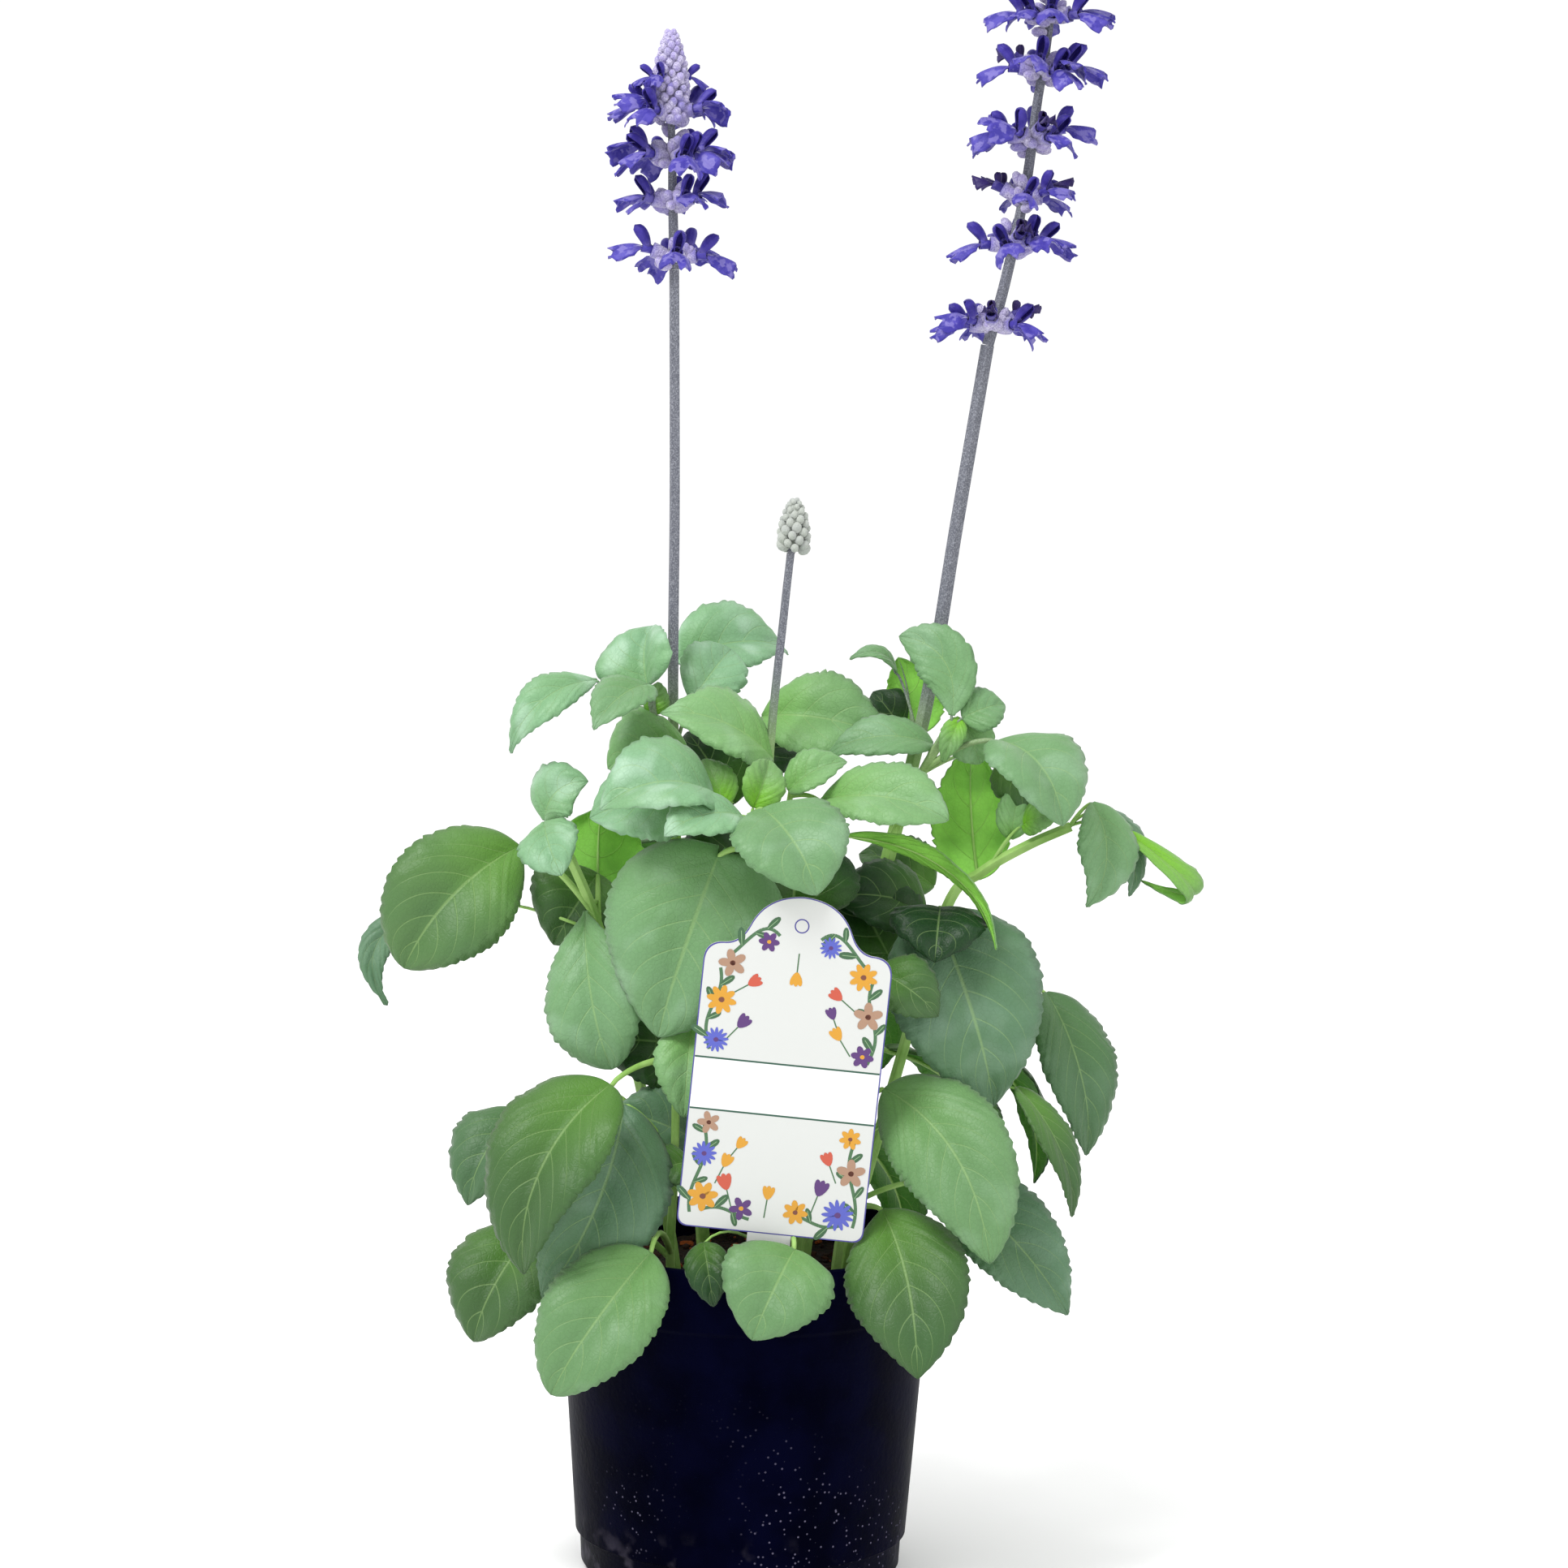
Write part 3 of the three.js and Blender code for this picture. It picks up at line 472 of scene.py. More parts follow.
def petal(x, y, turn, length, width, colour, layer=3):
    """A pointed oval that grows from (x, y) in the direction of turn."""
    shape = []
    for step in np.linspace(0, 2 * pi, 12, endpoint=False):
        along = length * (1 - cos(step)) / 2
        side = width / 2 * sin(step) * (0.75 + 0.25 * sin(step / 2))
        shape.append((x + along * cos(turn) - side * sin(turn),
                      y + along * sin(turn) + side * cos(turn)))
    ink(shape, colour, layer)


def bloom(x, y, size, count, colour, heart):
    """A round flower of pointed petals with a small heart."""
    for k in range(count):
        turn = 2 * pi * k / count + x
        layer = 3 + size / 9 + (k % 3) * 0.12
        petal(x, y, turn, size, size * min(3.8 / count, 0.62), colour, layer)
    petal(x - size * 0.2, y, 0, size * 0.4, size * 0.4, heart, layer=4.4)


def bell(x, y, turn, size, colour):
    """A cup-shaped bud of three petals on a short stalk."""
    for swing in (-0.35, 0.35, 0):
        petal(x, y, turn + swing, size, size * 0.42, colour, layer=3 + 0.3 * (swing == 0))


def vine(points, width, colour=STEM_INK, layer=1):
    """A thin line through points."""
    for (x1, y1), (x2, y2) in zip(points, points[1:]):
        run = Vector((x2 - x1, y2 - y1)).normalized() * width / 2
        ink([(x1 + run.y, y1 - run.x), (x2 + run.y, y2 - run.x), (x2 - run.y, y2 + run.x),
             (x1 - run.y, y1 + run.x)], colour, layer)


rim = [(x, y) for x, y in right if y > 0] + [(-x, y) for x, y in right[-2::-1] if y > 0]
rim = rim + [(CARD_CORNER - CARD_WIDTH / 2, 0), (CARD_WIDTH / 2 - CARD_CORNER, 0)]
inner = [(x - RIM_WIDTH * x / (CARD_WIDTH / 2), y + (RIM_WIDTH if y < BAND_FOOT else -RIM_WIDTH))
         for x, y in rim]
for k in range(len(rim)):
    following = (k + 1) % len(rim)
    ink([rim[k], rim[following], inner[following], inner[k]], EDGE_INK, 0.8)
ring = [(RING_RADIUS * cos(turn), RING_HEIGHT + RING_RADIUS * sin(turn))
        for turn in np.linspace(0, 2 * pi, 33)]
vine(ring, 0.45, EDGE_INK)
half = CARD_WIDTH / 2 - 0.5
ink([(-half, BAND_FOOT), (half, BAND_FOOT), (half, BAND_TOP), (-half, BAND_TOP)], WHITE_INK, 1)
for height in (BAND_FOOT, BAND_TOP):
    vine([(-half, height), (half, height)], 0.62, LINE_INK, layer=1.4)


def sprig(x, y, turn, size):
    """A broad leaf with a pale midrib."""
    petal(x, y, turn, size, size * 0.44, LEAF_INK, layer=2)
    vine([(x, y), (x + size * 0.8 * cos(turn), y + size * 0.8 * sin(turn))], 0.22, RIB_INK, 2.5)


def trail(points):
    """A winding stem with broad leaves on both sides, which grow forward along it."""
    vine(points, 1.15)
    for k in range(3, len(points) - 2, 4):
        (x1, y1), (x2, y2) = points[k], points[k + 1]
        along = np.arctan2(y2 - y1, x2 - x1)
        sprig(x1, y1, along + (0.85 if k % 8 == 3 else -0.85), 5.6 + 1.2 * sin(k * 2.3))


for hand in (-1, 1):
    trail([(hand * (26.5 + 2 * sin(height / 6)), height) for height in np.arange(5, 38, 1.5)])
    trail([(hand * (27 + 1.8 * sin(height / 5)), height) for height in np.arange(62.5, 92, 1.5)])
    trail([(hand * (24 - 17 * step ** 0.8), 95 + 11 * sin(step * 2.2))
           for step in np.linspace(0, 1, 17)])
trail([(x, 6 + 1.6 * sin(x / 4)) for x in np.arange(-24, -7, 1.5)])
trail([(x, 6 + 1.6 * sin(x / 4)) for x in np.arange(24, 8, -1.5)])

HEARTS = {GOLD_INK: UMBER_INK, CREAM_INK: UMBER_INK, BLUE_INK: PLUM_INK, PLUM_INK: GOLD_INK}
for x, y, size, count, colour in (
        (-24, 11, 5.4, 7, GOLD_INK), (22.5, 9, 5.6, 13, BLUE_INK), (-10.5, 8, 4.2, 5, PLUM_INK),
        (8, 8.5, 4.4, 7, GOLD_INK), (-25, 26, 4.4, 12, BLUE_INK), (25.5, 24, 4.6, 5, CREAM_INK),
        (-24.5, 37, 3.6, 5, CREAM_INK), (24, 36, 3.8, 7, GOLD_INK), (-25, 66, 4.4, 13, BLUE_INK),
        (25, 65, 4.0, 6, PLUM_INK), (-24.5, 80, 5.2, 8, GOLD_INK), (25.5, 79, 4.6, 5, CREAM_INK),
        (-22, 93, 4.4, 5, CREAM_INK), (22.5, 92.5, 5.0, 8, GOLD_INK),
        (-10.5, 101.5, 3.6, 6, PLUM_INK), (10.5, 101.5, 3.8, 13, BLUE_INK)):
    if colour == CREAM_INK:
        bloom(x, y, size * 1.12, count, SHADE_INK, HEARTS[colour])
    bloom(x, y, size, count, colour, HEARTS[colour])
for x, y, turn, size, colour in (
        (-16, 14, 1.9, 6, CORAL_INK), (-2, 12, 1.5, 5, GOLD_INK), (15, 15, 1.3, 6, PLUM_INK),
        (-18, 22, 1.2, 5, GOLD_INK), (18, 26, 2.0, 5, CORAL_INK), (-18, 71, 0.9, 5.4, PLUM_INK),
        (17, 70, 2.2, 5, GOLD_INK), (-16, 86, 0.6, 5, CORAL_INK), (16, 84, 2.5, 5, CORAL_INK),
        (0, 92, 4.7, 5, GOLD_INK), (-14, 29, 1.0, 4.4, GOLD_INK), (14, 77, 2.0, 4.4, PLUM_INK)):
    vine([(x, y), (x - 6.5 * cos(turn), y - 6.5 * sin(turn))], 0.45, STEM_INK, 1.8)
    bell(x, y, turn, size, colour)

ink_mesh = bpy.data.meshes.new("label_print")
ink_mesh.from_pydata(ink_points, [], ink_faces)
tint = ink_mesh.color_attributes.new("ink", "FLOAT_COLOR", "CORNER")
corners = [np.tile(colour, (len(face), 1)) for colour, face in zip(ink_colours, ink_faces)]
tint.data.foreach_set("color", np.concatenate(corners).ravel())
on_card(ink_mesh)
print_sheet = bpy.data.objects.new("label_print", ink_mesh)
bpy.context.collection.objects.link(print_sheet)
inks = Finish("printing_ink", Roughness=0.4)
inks.feed(Base_Color=inks.read("ink", "Color"))
ink_mesh.materials.append(inks.material)
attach(print_sheet, "root")

# Leaves: soft ovate blades with scalloped edges, each on a stalk that runs on as its midrib.
# The side veins start near the base and sweep forward, sunk in the upper side, so that the
# blade puckers up between them.
BLADE_THICK = 0.5
BASE_HALF_WIDTH = 1
TOOTH_DEPTH = 1.15
TOOTH_LENGTH = 3.4
STEPS_PER_TOOTH = 5
BLADE_COLUMNS = 14
VEIN_SPACING = 9
VEIN_SLANT = (0.24, 0.2)
VEIN_CROWDING = 0.8
PUCKER = 0.16

# A shade is lightness, coolness, and how yellow-green the leaf is at its base. The coolness, a
# bluish-grey cast,
# # is partly the leaf's own grey-green and partly a painted reflection of the bright surround on
# leaves
# # that face up.
MINT = (0.95, 0.8, 0.1)
APPLE = (0.9, 0.3, 0.35)
LIME = (0.8, 0, 1)
SAGE = (0.72, 0.5, 0.1)
JADE = (0.6, 0.35, 0.2)
SLATE = (0.42, 0.85, 0)
FERN = (0.38, 0.05, 0.35)
PINE = (0.3, 0.55, 0.1)
MOSS = (0.22, 0.05, 0.3)
# The two darkest shades are painted shade: they darken leaves that sit in the shadow inside and
# behind the plant, and one leaf that lies in deep shadow under the leaves above.
SHADOWED_GREEN = (0.03, 0.1, 0.2)
DARKEST_SHADOW = (0, 0.1, 0)


def unit(vectors):
    return vectors / np.linalg.norm(vectors, axis=-1, keepdims=True)


def ovate(along, point, widest):
    """Half the width of a blade along its length, as a share of the widest. A larger point
    draws the tip out more."""
    back = point * widest / (1 - widest)
    peak = widest ** back * (1 - widest) ** point
    return along ** back * np.clip(1 - along, 0, 1) ** point / peak


def vein_number(along, reach, count):
    """Which side vein a place of the blade lies on, as a number that runs between them."""
    first, second = VEIN_SLANT
    return count * np.clip(along - first * reach - second * reach ** 2, 0, 1) ** VEIN_CROWDING


class Leaf:
    """A leaf's form, from where it grows, its base, tip and width, and the way that it faces,
    as an azimuth and a height in degrees."""

    def __init__(self, root, base, tip, width, face, shade, arch=0.12, bend=0, fold=12, rise=0.1,
                 widest=0.4, point=0.95, skew=0, heart=0, droop=0.05, wave=0.05):
        self.root, self.base = root, np.array(base, float)
        self.chord = np.array(tip, float) - self.base
        self.length = np.linalg.norm(self.chord)
        self.width, self.arch, self.bend, self.rise = width, arch, bend, rise
        self.fold, self.droop, self.wave = radians(fold), droop * self.length, wave
        self.shade, self.widest, self.point = shade, widest, point
        self.skew, self.heart = skew, heart
        along = unit(self.chord)
        azimuth, height = map(radians, face)
        look = np.array((cos(azimuth) * cos(height), sin(azimuth) * cos(height), sin(height)))
        self.face = unit(look - along * look.dot(along))
        self.side = np.cross(along, self.face)
        self.phase = float(dice.random() * 2 * pi)
        self.teeth = max(7, round(self.length / TOOTH_LENGTH))
        self.veins = max(5, round(self.length / VEIN_SPACING))

    def midrib(self, along):
        swell = (4 * along * (1 - along))[..., None] * self.length
        rib = self.base + self.chord * (along + self.skew * 4 * along * (1 - along))[..., None]
        return rib + self.face * self.arch * swell + self.side * self.bend * swell

    def frame(self, along):
        """The midrib's direction and the blade's sideways and outward directions along it."""
        near = np.clip(along, 0.002, 0.998)
        tangent = unit(self.midrib(near + 0.002) - self.midrib(near - 0.002))
        side = unit(self.side - tangent * (tangent @ self.side)[..., None])
        return tangent, side, np.cross(side, tangent)

    def sag(self, along):
        return self.droop * np.clip((along - 0.65) / 0.35, 0, 1) ** 2

    def blade(self, along, across):
        """Points of the blade: along from 0 to 1, across from -1 to 1."""
        tangent, side, out = self.frame(along)
        reach = np.abs(across)
        hand = np.sign(across)
        ends = np.clip(np.minimum(along * 5 - 0.4, (1 - along) * 9), 0, 1)
        beat = along * self.teeth + 0.3 * np.sin(along * 9 + self.phase + hand)
        depth = TOOTH_DEPTH * (0.85 + 0.4 * np.sin(np.floor(beat) * 2.4 + self.phase + hand))
        tooth = np.clip((beat % 1) / 0.7, 0, 1) ** 0.6 * np.clip((1 - beat % 1) / 0.2, 0, 1) - 0.6
        half = np.maximum(BASE_HALF_WIDTH, self.width / 2 * ovate(along, self.point, self.widest))
        half = half + depth * min(1, self.width / 24) * tooth * ends * reach ** 6
        half = np.where(along > 0.999, 0, half)
        between = np.abs(np.sin(pi * vein_number(along, reach, self.veins)))
        pucker = PUCKER * (between ** 0.7 - 0.6) * ends * np.sin(pi * reach) ** 0.5
        wave = self.wave * np.sin(2 * pi * along * 1.9 + self.phase + hand * 1.7) * reach ** 2
        ripple = np.sin(2 * pi * along * 5.3 + self.phase * 2 + hand) * reach ** 3
        wave = wave + 0.5 * self.wave * ripple
        cupping = reach * np.sin(self.fold) + 0.1 * np.sin(pi * reach) - 0.12 * reach ** 4
        lift = half * (cupping + wave) + pucker - self.sag(along)
        lobe = self.heart * self.length * reach ** 1.5 * np.clip(1 - 3 * along, 0, 1) ** 2
        point = self.midrib(along) + side * (across * half * np.cos(self.fold))[..., None]
        return point + out * lift[..., None] - tangent * lobe[..., None]

    def stalk(self, root):
        """Points and half thicknesses of the stalk and of the midrib that it runs on as."""
        middle = root + (self.base - root) * 0.55
        middle[2] += np.linalg.norm(self.base - root) * self.rise
        pull = 2 * middle - (root + self.base) / 2
        stalk = bow(root, pull, self.base, np.linspace(0, 1, 10)[:-1])
        along = np.linspace(0, 0.96, 20)
        size = np.clip(self.width / 36, 0.55, 1.15)
        thick = np.concatenate([np.linspace(1.15, 0.8, 9), 0.65 * (1 - along) ** 1.1 + 0.1]) * size
        sink = thick[9:] * 0.9 + 0.1 + self.sag(along)
        rib = self.midrib(along) - self.frame(along)[2] * sink[:, None]
        return np.concatenate([stalk, rib]), thick


def shell(rows, columns, form, thick, finishes, merge=0, **values):
    """A thin blade or petal from a grid. form takes places along it (0 to 1) and across it (-1
    to 1), and gives points in millimetres. Points closer than merge become one. A second finish
    covers the back."""
    bpy.ops.mesh.primitive_grid_add(
        x_subdivisions=rows, y_subdivisions=columns, size=2, calc_uvs=True)
    sheet = bpy.context.object
    grid = np.empty(len(sheet.data.vertices) * 3)
    sheet.data.vertices.foreach_get("co", grid)
    grid = grid.reshape(-1, 3)
    sheet.data.vertices.foreach_set("co", (form((grid[:, 0] + 1) / 2, -grid[:, 1]) * MM).ravel())
    mark_points(sheet.data, **values)
    if merge:
        bpy.ops.object.mode_set(mode="EDIT")
        bpy.ops.mesh.select_all(action="SELECT")
        bpy.ops.mesh.remove_doubles(threshold=merge * MM)
        bpy.ops.object.mode_set(mode="OBJECT")
    for finish in finishes:
        sheet.data.materials.append(finish.material)
    skin = sheet.modifiers.new("skin", "SOLIDIFY")
    skin.thickness = thick * MM
    skin.offset = 0
    skin.material_offset = len(finishes) - 1
    bpy.ops.object.modifier_apply(modifier="skin")
    bpy.ops.object.shade_smooth()
    return sheet


def leaf_finish(name, veins_up, **constants):
    """Leaf skin: side veins that curve forward, a fine net between them, and soft cloudiness."""
    skin = Finish(name, **constants)
    along, span, _ = skin.parts(skin.node("TexCoord", output="UV"))
    reach = abs(span * 2 - 1)
    tone, cool, young, veins = map(skin.read, ("tone", "cool", "young", "veins"))
    first, second = VEIN_SLANT
    start = along - reach * first - reach * reach * second
    start = start.larger(0.0)
    gap = abs((start ** VEIN_CROWDING * veins + 0.5).fraction() - 0.5)
    inside = start.between(0.01, 0.03) * (1 - reach.between(0.55, 0.98))
    side_vein = (1 - gap.between(0.008, 0.045)) * inside * (0.9 - reach * 0.4)
    midrib = 1 - reach.between(0.008, 0.036)
    vein = side_vein.larger(midrib)
    net = skin.node("TexVoronoi", settings={"feature": "DISTANCE_TO_EDGE"},
                    Vector=skin.place(), Scale=560.0)
    mesh = 1 - net.between(0.0, 0.16)
    relief = vein * (0.5 if veins_up else -0.3) + gap.between(0.0, 0.5) * 0.4 - mesh * 0.12
    skin.relief(relief + skin.cloud(0.7 * MM) * 0.2, 0.4 * MM)
    return skin, vein, mesh, tone, cool, young * (1 - along.between(0.05, 0.7)), reach


leaf_upper, vein, mesh, tone, cool, young, reach = leaf_finish(
    "leaf_upper_side", False, Roughness=0.42, Specular_IOR_Level=0.28,
    Sheen_Weight=0.08, Sheen_Roughness=0.5)
# The cool colour is partly the leaf's own grey-green and partly painted reflection of the bright
# surround.
warm_skin = leaf_upper.blend(tone, paint(6, 46, 6), paint(112, 154, 88))
cool_skin = leaf_upper.blend(tone, paint(12, 46, 32), paint(118, 158, 126))
cloudy_skin = leaf_upper.blend(tone, paint(10, 54, 16), paint(104, 144, 94))
# Painted highlights: pale whitish-blue patches on light, cool leaves stand in for the soft sheen of
# the lamps.
painted_glint = leaf_upper.cloud(13 * MM, 1.0).between(0.5, 0.72) * tone * tone * cool * 0.5
leaf_skin = leaf_upper.coated(
    warm_skin, (cool, cool_skin),
    (leaf_upper.cloud(22 * MM).between(0.35, 0.75) * 0.5, cloudy_skin),
    (painted_glint, paint(176, 202, 184)),
    (young * (1 - reach.between(0.2, 1.1) * 0.5), paint(106, 164, 38)),
    (mesh * 0.08, paint(50, 84, 34)),
    (vein * 0.32, paint(142, 172, 108)))
leaf_upper.feed(Base_Color=leaf_skin, Roughness=0.36 + leaf_upper.cloud(9 * MM) * 0.2)

leaf_under, vein, mesh, tone, *_ = leaf_finish(
    "leaf_under_side", True, Roughness=0.62, Specular_IOR_Level=0.3)
leaf_under.feed(Base_Color=leaf_under.coated(
    paint(54, 110, 26), (tone, paint(138, 204, 82)),
    (leaf_under.cloud(16 * MM).between(0.4, 0.7) * 0.5, paint(70, 124, 40)),
    (mesh * 0.14, paint(104, 150, 62)),
    (vein * 0.45, paint(134, 174, 88))))

# Stems: square and grooved, green among the leaves and mealy grey-violet below the flowers.
# Every leaf's stalk is a thinner round one. All that grows from one stem is joined to it.
STEM_SIDES = 20
STEM_SPAN_STEPS = 8

stem_skin = Finish("stem_skin", Roughness=0.6, Specular_IOR_Level=0.4)
_, _, high = stem_skin.parts(stem_skin.place())
meal = stem_skin.cloud(0.5 * MM, 4.0)
greens = stem_skin.blend(stem_skin.cloud(14 * MM).between(0.35, 0.7), paint(118, 158, 74),
                         paint(150, 186, 106))
greys = stem_skin.blend(meal.between(0.4, 0.7), paint(83, 85, 94), paint(128, 130, 138))
stem_skin.feed(Base_Color=stem_skin.blend(high.between(0.27, 0.325), greens, greys))
stem_skin.relief(meal, 0.12 * MM)


def flowing(points):
    """A smooth line through points."""
    points = np.array(points, float)
    ends = np.concatenate([[2 * points[0] - points[1]], points, [2 * points[-1] - points[-2]]])
    line = []
    for a, b, c, d in zip(ends, ends[1:], ends[2:], ends[3:]):
        t = np.linspace(0, 1, STEM_SPAN_STEPS, endpoint=False)[:, None]
        line.append(b + (c - a) * t / 2 + (2 * a - 5 * b + 4 * c - d) * t ** 2 / 2
                    + (3 * b - a - 3 * c + d) * t ** 3 / 2)
    return np.concatenate(line + [points[-1:]])


def draw_rods(name, rods, section):
    """Models rods from their centre lines and half thicknesses, all with one cross-section."""
    profile = bpy.data.curves.new("section", "CURVE")
    draw_ring(profile, section)
    section_object = bpy.data.objects.new("section", profile)
    lines = bpy.data.curves.new(name, "CURVE")
    lines.dimensions = "3D"
    lines.bevel_mode = "OBJECT"
    lines.bevel_object = section_object
    lines.use_fill_caps = True
    for points, thick in rods:
        spline = lines.splines.new("POLY")
        spline.points.add(len(points) - 1)
        spline.points.foreach_set("co", np.c_[points * MM, np.ones(len(points))].ravel())
        spline.points.foreach_set("radius", np.asarray(thick, float))
        spline.use_smooth = True
    rod = solid_from(name, lines)
    bpy.data.objects.remove(section_object)
    bpy.ops.object.mode_set(mode="EDIT")
    bpy.ops.mesh.select_all(action="SELECT")
    bpy.ops.mesh.remove_doubles(threshold=0.005 * MM)
    bpy.ops.mesh.normals_make_consistent(inside=False)
    bpy.ops.object.mode_set(mode="OBJECT")
    rod.data.materials.append(stem_skin.material)
    bpy.ops.object.shade_smooth_by_angle(angle=radians(50))
    return rod


def ring_of(sides, groove=0.0):
    """A cross-section a millimetre in radius, round or squared off with grooves."""
    turns = np.linspace(0, 2 * pi, sides, endpoint=False)
    reach = (1 + groove * np.cos(4 * turns)) * MM
    return list(zip(reach * np.cos(turns), reach * np.sin(turns)))


def at_height(route, height):
    """The point of a stem's route at a height."""
    route = np.array(route, float)
    above = np.clip(np.searchsorted(route[:, 2], height), 1, len(route) - 1)
    low, high = route[above - 1:above + 1]
    return low + (high - low) * ((height - low[2]) / (high[2] - low[2]))


def grow(name, radius, route, *leaves, branches=()):
    """Models a stem with its side stems, stalks and leaves, joined to one piece."""
    line = flowing(route)
    squared = ring_of(STEM_SIDES, 0.16)
    parts = [draw_rods("stem", [(line, np.linspace(1.15, 0.95, len(line)) * radius)], squared)]
    for branch in branches:
        run = flowing(branch)
        parts.append(draw_rods("side_stem", [(run, np.full(len(run), radius * 0.75))], squared))
    stalks = []
    for leaf in leaves:
        root = leaf.root if isinstance(leaf.root, tuple) else at_height(route, leaf.root)
        stalks.append(leaf.stalk(np.array(root, float)))
        tone, cool, young = leaf.shade
        parts.append(shell(
            leaf.teeth * STEPS_PER_TOOTH, BLADE_COLUMNS, leaf.blade, BLADE_THICK,
            [leaf_upper, leaf_under], merge=0.02,
            tone=tone, cool=cool, young=young, veins=leaf.veins))
    parts.append(draw_rods("stalks", stalks, ring_of(8)))
    plant = joined(parts)
    plant.name = name + "_grown"
    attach(plant, "root")
    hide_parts(name)


# A leaf's root is a height on the main stem, or a place.
grow(
    "left_flowering_stem", 1.8,
    ((-13, 10, 72), (-15, 11, 116), (-24, 12, 200), (-29, 12, 295), (-30, 12, 380),
     (-31.5, 12, 458)),
    Leaf(281, (-56, 10, 314), (-88, -5, 289), 18, (-90, 45), MINT, arch=0.27, widest=0.45,
         point=1.25, droop=0.1),
    Leaf((-37, 5, 306), (-38, 5, 313), (-37, 18, 334), 36, (-125, 25), MINT, bend=-0.02, fold=32,
         widest=0.3, point=1.1),
    Leaf((-37, 5, 305), (-38, -2, 314), (-56, -25, 301), 22, (-100, 50), SAGE, point=1.1),
    Leaf((-37, 5, 304), (-37, 6, 303), (-34, 10, 314), 10, (-70, 10), LIME),
    Leaf(290, (-29, 38, 319), (13, 52, 323), 35, (-90, 42), MINT, arch=0.16, fold=25, widest=0.36,
         point=1.4, droop=0.08),
    Leaf(288, (-23, 15, 307), (-9, 30, 325), 25, (-90, 15), MINT, widest=0.5, point=0.8),
    Leaf(262, (-24, 7, 291), (-52, -4, 285), 32, (-95, 45), APPLE, arch=0.2, fold=18, widest=0.45,
         point=0.9),
    Leaf(240, (-26, 38, 254), (-46, 70, 226), 32, (120, 45), SHADOWED_GREEN),
    Leaf(262, (-7, 24, 270), (-25, 32, 295), 36, (-90, 20), SHADOWED_GREEN),
    Leaf(268, (-21, 34, 281), (20, 40, 290), 26, (-90, 25), SHADOWED_GREEN),
    branches=(((-28, 12, 275), (-33, 8, 290), (-37, 5, 309)),))

grow(
    "budding_stem", 1.4,
    ((2, -10, 72), (3, -8, 116), (3, -4, 200), (5, -2, 288), (9, -2, 339), (11, -2, 361)),
    Leaf(280, (6, -3, 289), (-33, -16, 307), 32, (-90, 50), APPLE, arch=0.14, widest=0.45,
         point=1.1),
    Leaf(272, (2, 25, 301), (49, 16, 294), 36, (-90, 35), APPLE, arch=0.14, fold=18, widest=0.42,
         point=1.05),
    Leaf((0, -36, 266), (-14, -24, 278), (-53, -45, 276), 40, (-97, 48), MINT, arch=0.2, fold=22),
    Leaf((-1, -37, 271), (-4, -38, 273), (-30, -58, 269), 27, (-90, 55), MINT),
    Leaf((-1, -37, 272), (0, -37, 276), (5, -28, 292), 17, (-70, 20), LIME, fold=24),
    Leaf((-1, -37, 272), (3, -42, 276), (23, -70, 252), 42, (-80, 40), SAGE, widest=0.46, point=0.8,
         droop=0.1),
    Leaf((0, -35, 262), (-12, -33, 258), (-32, -41, 196), 64, (-97, 22), SAGE, arch=0.04, fold=4,
         widest=0.34, point=0.8, heart=0.06, wave=0.02),
    Leaf((13, -18, 279), (12, -22, 280), (32, -19, 291), 19, (-110, 45), APPLE, fold=22),
    Leaf((13, -18, 278), (23, -24, 277), (67, -44, 275), 30, (-90, 46), APPLE, arch=0.12, fold=18,
         widest=0.5, point=0.75),
    Leaf((11, -13, 268), (32, -30, 266), (87, -42, 230), 15, (45, 45), LIME, arch=0.17, point=0.9),
    Leaf((0, -35, 262), (-23, -14, 276), (-57, -24, 270), 34, (-95, 30), MINT),
    Leaf((0, -35, 262), (-10, -20, 274), (-18, -12, 290), 15, (-80, 15), LIME),
    Leaf((3, -12, 226), (14, -16, 235), (16, -6, 265), 46, (-90, 10), SHADOWED_GREEN),
    Leaf((3, -12, 236), (-6, -14, 249), (-3, -6, 269), 40, (-90, 10), SHADOWED_GREEN),
    branches=(((3, -4, 215), (4, -20, 238), (1, -34, 258), (-1, -37, 274)),
              ((4, -3, 240), (10, -10, 262), (13, -19, 281))))

